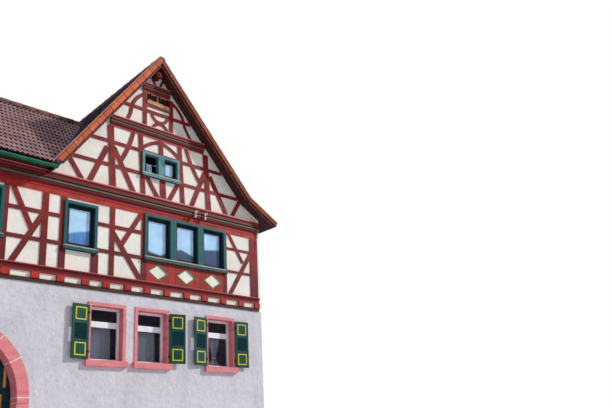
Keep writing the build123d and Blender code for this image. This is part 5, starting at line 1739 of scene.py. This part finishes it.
# Gutter. Lengths are in metres.
GUTTER_LAP = -4.9
GUTTER_WALL = 0.93
GUTTER_STEPS = 14
LIP = 0.009
LIP_DROP = 0.006
BAND = 0.05
STOP_END = 0.012
STRAP_WIDTH = 0.022
STRAP_BACK = -0.34
STRAP_HOOK = (-0.405, -0.399)
STRAP_DROP = 0.1
FIRST_STRAP = 0.3

# Roof. Lengths are in metres.
TILES_IN_FRONT = 0.018
TILES_IN_BACK = 0.03
DECK_INSET = 0.018
VERGE_BOARD = (0.028, 0.052)
VERGE_BOARD_DROP = 0.035
VERGE_BOARD_LAP = 0.01
VERGE_BOARD_START = 0.02
VERGE_BOARD_END = 0.06
VERGE_BOARD_CLEAR = 0.05
RIDGE_LAP = 0.05
RIDGE_SLACK = 0.002
RIDGE_CLEAR = 0.03
BED_SHARE = 0.72
BED_INSET = 0.02
BED_HALF = 0.4
WING_RIDGE_END = 1.2
FLASHING_BED = 0.008
FLASHING_START = 0.14
FLASHING_WIDTH = 0.13
FLASHING_HALF = 0.002
FLASHING_LENGTHS = 3
FLASHING_LAP = 0.006


class HOUSE_OT_roof(bpy.types.Operator):
    """Lay decks, tiles, verges, ridges, valleys and the gutter's fittings"""

    bl_idname = "house.roof"
    bl_label = "Lay the roof"

    def execute(self, context):
        sizes = context.scene.house_sizes
        left = Slope("main_roof_left")
        right = Slope("main_roof_right")
        flare = Slope("main_roof_right", 1)
        front = Slope("wing_roof_front")
        back = Slope("wing_roof_back")
        self.lay_main(sizes, left, right, flare, front, back)
        for side, slope, seed in (("front", front, 21), ("back", back, 22)):
            name = f"wing_{side}_tiles"
            mesh = tile_rows(name, slope, sizes, seed)
            clipped(mesh, edges_of(slope) + [left.plane(sizes.valley)])
            tiles = add_piece(name, mesh)
            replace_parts(tiles, f"wing_roof_{side}")
            name = f"wing_{side}_deck"
            add_piece(name, deck_of(name, f"wing_roof_{side}", (slope,), sizes))
        self.lay_verges(sizes, left, right, flare, front)
        self.lay_ridges(sizes, left, front)
        self.lay_valleys(sizes, left, front, back)
        self.fit_gutter(sizes)
        # The wing's eaves take the dark soffit colour, partly painted shade under the eaves.
        dress("wing_eaves", "soffit")
        return {"FINISHED"}

    def lay_main(self, sizes, left, right, flare, front, back):
        """The tiles and decks of the main roof. The left slope stays clear of the
        wing's roof."""
        ends = [
            yard_of(RIDGE_LOW.y + TILES_IN_FRONT),
            street_of(RIDGE_HIGH.y - TILES_IN_BACK),
        ]
        whole = tile_rows("left_tiles", left, sizes, 1, "main_tile")
        clipped(whole, edges_of(left) + ends)
        middle = WING_RIDGE.y
        eave_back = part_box("wing_roof_back")[1].y
        parts = []
        for planes in (
            [street_of(middle), front.plane(sizes.valley)],
            [yard_of(middle), street_of(eave_back), back.plane(sizes.valley)],
            [yard_of(eave_back)],
        ):
            parts.append(clipped(whole.copy(), planes))
        self.add_slope("left", parts, (left,), sizes)
        parts = []
        for name, slope, seed in (("right_tiles", right, 11), ("flare_tiles", flare, 12)):
            rows = tile_rows(name, slope, sizes, seed, "main_tile")
            parts.append(clipped(rows, edges_of(slope) + ends))
        self.add_slope("right", parts, (right, flare), sizes)

    def add_slope(self, side, parts, slopes, sizes):
        """One side of the main roof: its tiles over a boarded deck."""
        node = f"main_roof_{side}"
        name = f"{side}_roof_tiles"
        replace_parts(add_piece(name, joined(name, parts)), node)
        name = f"{side}_roof_deck"
        add_piece(name, deck_of(name, node, slopes, sizes, DECK_INSET))

    def lay_verges(self, sizes, left, right, flare, front):
        """Verge tiles and the thin boards below them on both gables."""
        for side, back in (("street", False), ("back", True)):
            for name, slopes, finish in (
                (f"{side}_right_verge", (right, flare), "dark_verge"),
                (f"{side}_left_verge", (left,), "verge"),
            ):
                rows = []
                for slope in slopes:
                    planes = [*edges_of(slope)[:2], (slope.at(0, slope.length), -slope.up)]
                    if slope is left and not back:
                        planes.append(front.plane(0.0))
                    rows.append(clipped(verge_row(name, slope, sizes, back, finish), planes))
                add_piece(name, joined(name, rows))
            work = Work(f"{side}_verge_boards", "barge")
            for slope in (right, flare, left):
                start = VERGE_BOARD_START
                if slope is left and not back:
                    corner = crossing(front, left, RIDGE_LOW.y)
                    start = (corner - slope.at(0, 0)).dot(slope.up) + VERGE_BOARD_CLEAR
                work.box(
                    (VERGE_BOARD[0], start, -ROOF_THICKNESS - VERGE_BOARD_DROP),
                    (
                        VERGE_BOARD[1],
                        slope.length - VERGE_BOARD_END,
                        -ROOF_THICKNESS + VERGE_BOARD_LAP,
                    ),
                    slope.edge_matrix(back),
                )
            work.piece(bevel=0.003)

    def lay_ridges(self, sizes, left, front):
        """Ridge tiles on both ridges, on a dark bed."""
        rows = []
        main = RIDGE_HIGH.y - RIDGE_LOW.y
        wing = crossing(front, left, WING_RIDGE.y).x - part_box("wing_party_wall")[0].x
        turn = Matrix.Rotation(-math.pi / 2, 4, "Z")
        top = RIDGE_HIGH.z - RIDGE_RADIUS
        for long, place in (
            (main, Matrix.Translation((RIDGE_X, RIDGE_LOW.y, top))),
            (wing, Matrix.Translation((RIDGE_LOW.x, WING_RIDGE.y, WING_RIDGE.z)) @ turn),
        ):
            count = round(long / sizes.ridge_length)
            step = long / count
            row = laid(
                "ridge_row",
                "row",
                ridge_cap(RIDGE_RADIUS, step + RIDGE_LAP),
                "ridge",
                Count=count,
                Step=(0, step, 0),
                Slack=RIDGE_SLACK,
                Seed=sizes.seed + count,
            )
            row.transform(place)
            rows.append(row)
        clipped(rows[0], [street_of(RIDGE_HIGH.y)])
        party_wall = (Vector((RIDGE_LOW.x, 0, 0)), Vector((1, 0, 0)))
        clipped(rows[1], [left.plane(RIDGE_CLEAR), party_wall])
        caps = add_piece("ridge_caps", joined("ridge_caps", rows))
        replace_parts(caps, "ridge_tiles")
        self.add_bed(left.at(0, left.length).x - WING_RIDGE_END, top)

    def add_bed(self, wing_end, top):
        """The bed under the ridge tiles: the CAD ridges, drawn in about their middles."""
        bed = NODES["ridge_tiles"].data.copy()
        for vertex in bed.vertices:
            place = vertex.co
            if place.x > wing_end and abs(place.x - RIDGE_X) < BED_HALF:
                place.x = RIDGE_X + (place.x - RIDGE_X) * BED_SHARE
                place.z = top + (place.z - top) * BED_SHARE
                place.y = min(max(place.y, RIDGE_LOW.y + BED_INSET), RIDGE_HIGH.y - BED_INSET)
            else:
                place.y = WING_RIDGE.y + (place.y - WING_RIDGE.y) * BED_SHARE
                place.z = WING_RIDGE.z + (place.z - WING_RIDGE.z) * BED_SHARE
        bed.materials.clear()
        bed.materials.append(MATERIALS["soffit"])
        bed.name = "ridge_bed"
        add_piece("ridge_bed", bed)

    def lay_valleys(self, sizes, left, front, back):
        """Sheet metal in the two valleys beside the wing's roof."""
        work = Work("valley_flashings", "flashing")
        for slope, y in (
            (front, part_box("wing_roof_front")[0].y + FLASHING_START),
            (back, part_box("wing_roof_back")[1].y - FLASHING_START),
        ):
            both = slope.normal + left.normal
            drop = FLASHING_BED - sizes.tile_bed
            lower = both * drop / (1 + slope.normal.dot(left.normal))
            foot = crossing(slope, left, y) + lower
            head = crossing(slope, left, WING_RIDGE.y) + lower
            way = (head - foot).normalized()
            long = (head - foot).length
            for plane in (slope, left):
                out = way.cross(plane.normal)
                if out.dot(plane.up) < 0:
                    out = -out
                place = Matrix.Translation(foot) @ axes(way, plane.normal, out)
                for number in range(FLASHING_LENGTHS):
                    start = long * number / FLASHING_LENGTHS
                    end = long * (number + 1) / FLASHING_LENGTHS - FLASHING_LAP
                    work.box(
                        (start, -FLASHING_HALF, -0.01),
                        (end, FLASHING_HALF, FLASHING_WIDTH),
                        place,
                    )
        work.piece(bevel=0.001)

    def fit_gutter(self, sizes):
        """The gutter's rolled lip, its stop end and the band where two lengths meet."""
        dress("gutter", "gutter")
        low, high = GUTTER_LOW, GUTTER_HIGH
        middle = (low.y + high.y) / 2
        radius = (high.y - low.y) / 2 - CLEARANCE
        rim = high.z
        work = Work("gutter_fittings", "gutter", "gutter_lip")
        lip_y, lip_z = low.y + LIP, rim - LIP_DROP
        # The lip of the right length takes the paler green, partly a painted highlight where the
        # sun catches it.
        for left, right, thick, finish in (
            (low.x + 0.01, GUTTER_LAP, LIP - 0.001, 0),
            (GUTTER_LAP, high.x - 0.004, LIP, 1),
        ):
            work.rod((left, lip_y, lip_z), (right, lip_y, lip_z), thick, finish)
        turns = [math.pi * (1 + number / GUTTER_STEPS) for number in range(GUTTER_STEPS + 1)]
        outline = [
            (middle + radius * math.cos(turn), rim + radius * math.sin(turn)) for turn in turns
        ]
        inner = [
            (middle + (y - middle) * GUTTER_WALL, rim + (z - rim) * GUTTER_WALL)
            for y, z in outline
        ]
        turn = Matrix.Rotation(math.pi / 2, 4, "Z")
        work.loop(outline, inner, 0, -BAND, Matrix.Translation((GUTTER_LAP, 0, 0)) @ turn)
        work.prism(inner, 0, -STOP_END, Matrix.Translation((high.x - 0.03, 0, 0)) @ turn)
        self.add_straps(sizes)
        work.piece(bevel=0.001)

    def add_straps(self, sizes):
        """The straps that carry the gutter, at even steps."""
        low, high, rim = GUTTER_LOW, GUTTER_HIGH, GUTTER_HIGH.z
        strap = Work("strap", "gutter")
        strap.box((0, low.y + 0.004, rim - 0.012), (STRAP_WIDTH, STRAP_BACK, rim - 0.002))
        strap.box(
            (0, STRAP_HOOK[0], rim - STRAP_DROP), (STRAP_WIDTH, STRAP_HOOK[1], rim - 0.002)
        )
        row = laid(
            "straps",
            "row",
            strap.mesh(0.001),
            "gutter",
            Count=int((high.x - low.x) / sizes.bracket_step),
            Step=(sizes.bracket_step, 0, 0),
            Slack=0.0,
        )
        row.transform(Matrix.Translation((low.x + FIRST_STRAP, 0, 0)))
        add_piece("gutter_straps", row)


class HOUSE_OT_stage(bpy.types.Operator):
    """Set the floor, the light and the camera"""

    bl_idname = "house.stage"
    bl_label = "Set the stage"

    def execute(self, context):
        context.scene.view_settings.view_transform = "Standard"
        add_floor(context.scene)
        add_light(context.scene)
        add_camera(context.scene)
        return {"FINISHED"}


# Stage, in metres, degrees and millimetres
CAMERA_PLACE = (-9.561, -15.242, 0.5)
CAMERA_TURN = (105.2852, 2.7999, -44.0844)
CAMERA_LENS = 38.857
CAMERA_SENSOR = 36.0
CAMERA_SHIFT = 0.1
CAMERA_REACH = 400
FLOOR_REACH = 150.0
FLOOR_Z = -0.002
FLOOR_COLOUR = (0.82, 0.82, 0.82)
SUN_STRENGTH = 3.0
SUN_WIDTH = math.radians(4)
SUN_WAY = Vector((-0.7, 0.48, -0.52))
SKY_LIGHT = (0.76, 0.88, 1.0, 1)
SKY_STRENGTH = 0.55
WHITE = (1, 1, 1, 1)


def add_camera(scene):
    """The photograph's camera. Part of its rise is a lens shift, the rest a tilt."""
    data = bpy.data.cameras.new("camera")
    data.sensor_width = CAMERA_SENSOR
    data.lens = CAMERA_LENS
    data.shift_y = CAMERA_SHIFT
    data.clip_end = CAMERA_REACH
    camera = bpy.data.objects.new("camera", data)
    scene.collection.objects.link(camera)
    camera.location = CAMERA_PLACE
    camera.rotation_euler = [math.radians(angle) for angle in CAMERA_TURN]
    scene.camera = camera


def add_floor(scene):
    """A plain pale floor."""
    mesh = bpy.data.meshes.new("floor")
    signs = ((-1, -1), (1, -1), (1, 1), (-1, 1))
    corners = [(x * FLOOR_REACH, y * FLOOR_REACH, FLOOR_Z) for x, y in signs]
    mesh.from_pydata(corners, [], [(0, 1, 2, 3)])
    floor = bpy.data.objects.new("floor", mesh)
    scene.collection.objects.link(floor)
    finish = Finish("floor", roughness=1.0)
    finish.paint(FLOOR_COLOUR)
    mesh.materials.append(finish.material)


def add_light(scene):
    """A soft sun from the street's right, and a pale even sky that shows as white."""
    sun = bpy.data.lights.new("key", "SUN")
    sun.energy = SUN_STRENGTH
    sun.angle = SUN_WIDTH
    lamp = bpy.data.objects.new("key", sun)
    lamp.rotation_mode = "QUATERNION"
    lamp.rotation_quaternion = SUN_WAY.to_track_quat("-Z", "Y")
    scene.collection.objects.link(lamp)
    world = bpy.data.worlds.new("sky")
    scene.world = world
    world.use_nodes = True
    tree = world.node_tree
    light = tree.nodes["Background"]
    light.inputs["Color"].default_value = SKY_LIGHT
    light.inputs["Strength"].default_value = SKY_STRENGTH
    plain = tree.nodes.new("ShaderNodeBackground")
    plain.inputs["Color"].default_value = WHITE
    plain.inputs["Strength"].default_value = 1.0
    path = tree.nodes.new("ShaderNodeLightPath")
    seen = tree.nodes.new("ShaderNodeMath")
    seen.operation = "MAXIMUM"
    tree.links.new(path.outputs["Is Camera Ray"], seen.inputs[0])
    tree.links.new(path.outputs["Is Transmission Ray"], seen.inputs[1])
    mix = tree.nodes.new("ShaderNodeMixShader")
    tree.links.new(seen.outputs[0], mix.inputs[0])
    tree.links.new(light.outputs[0], mix.inputs[1])
    tree.links.new(plain.outputs[0], mix.inputs[2])
    tree.links.new(mix.outputs[0], tree.nodes["World Output"].inputs["Surface"])


STEPS = (
    HOUSE_OT_materials,
    HOUSE_OT_masonry,
    HOUSE_OT_stonework,
    HOUSE_OT_framing,
    HOUSE_OT_windows,
    HOUSE_OT_leaves,
    HOUSE_OT_roof,
    HOUSE_OT_stage,
)


class HOUSE_PT_panel(bpy.types.Panel):
    """The house's sizes, colours and pieces."""

    bl_label = "House"
    bl_idname = "HOUSE_PT_panel"
    bl_space_type = "VIEW_3D"
    bl_region_type = "UI"
    bl_category = "House"

    def draw(self, context):
        for group in (context.scene.house_sizes, context.scene.house_colours):
            box = self.layout.box()
            for key in group.__annotations__:
                box.prop(group, key)
        for step in STEPS:
            self.layout.operator(step.bl_idname)


CLASSES = (HouseSizes, HouseColours, *STEPS, HOUSE_PT_panel)


def register():
    """Adds the house's classes, sizes and colours to Blender."""
    for item in CLASSES:
        bpy.utils.register_class(item)
    bpy.types.Scene.house_sizes = PointerProperty(type=HouseSizes)
    bpy.types.Scene.house_colours = PointerProperty(type=HouseColours)


def unregister():
    """Takes the same out of Blender again."""
    del bpy.types.Scene.house_sizes
    del bpy.types.Scene.house_colours
    for item in reversed(CLASSES):
        bpy.utils.unregister_class(item)


def main():
    """Makes the whole house."""
    register()
    for step in STEPS:
        area, name = step.bl_idname.split(".")
        getattr(getattr(bpy.ops, area), name)()
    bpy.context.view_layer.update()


if __name__ == "__main__":
    main()
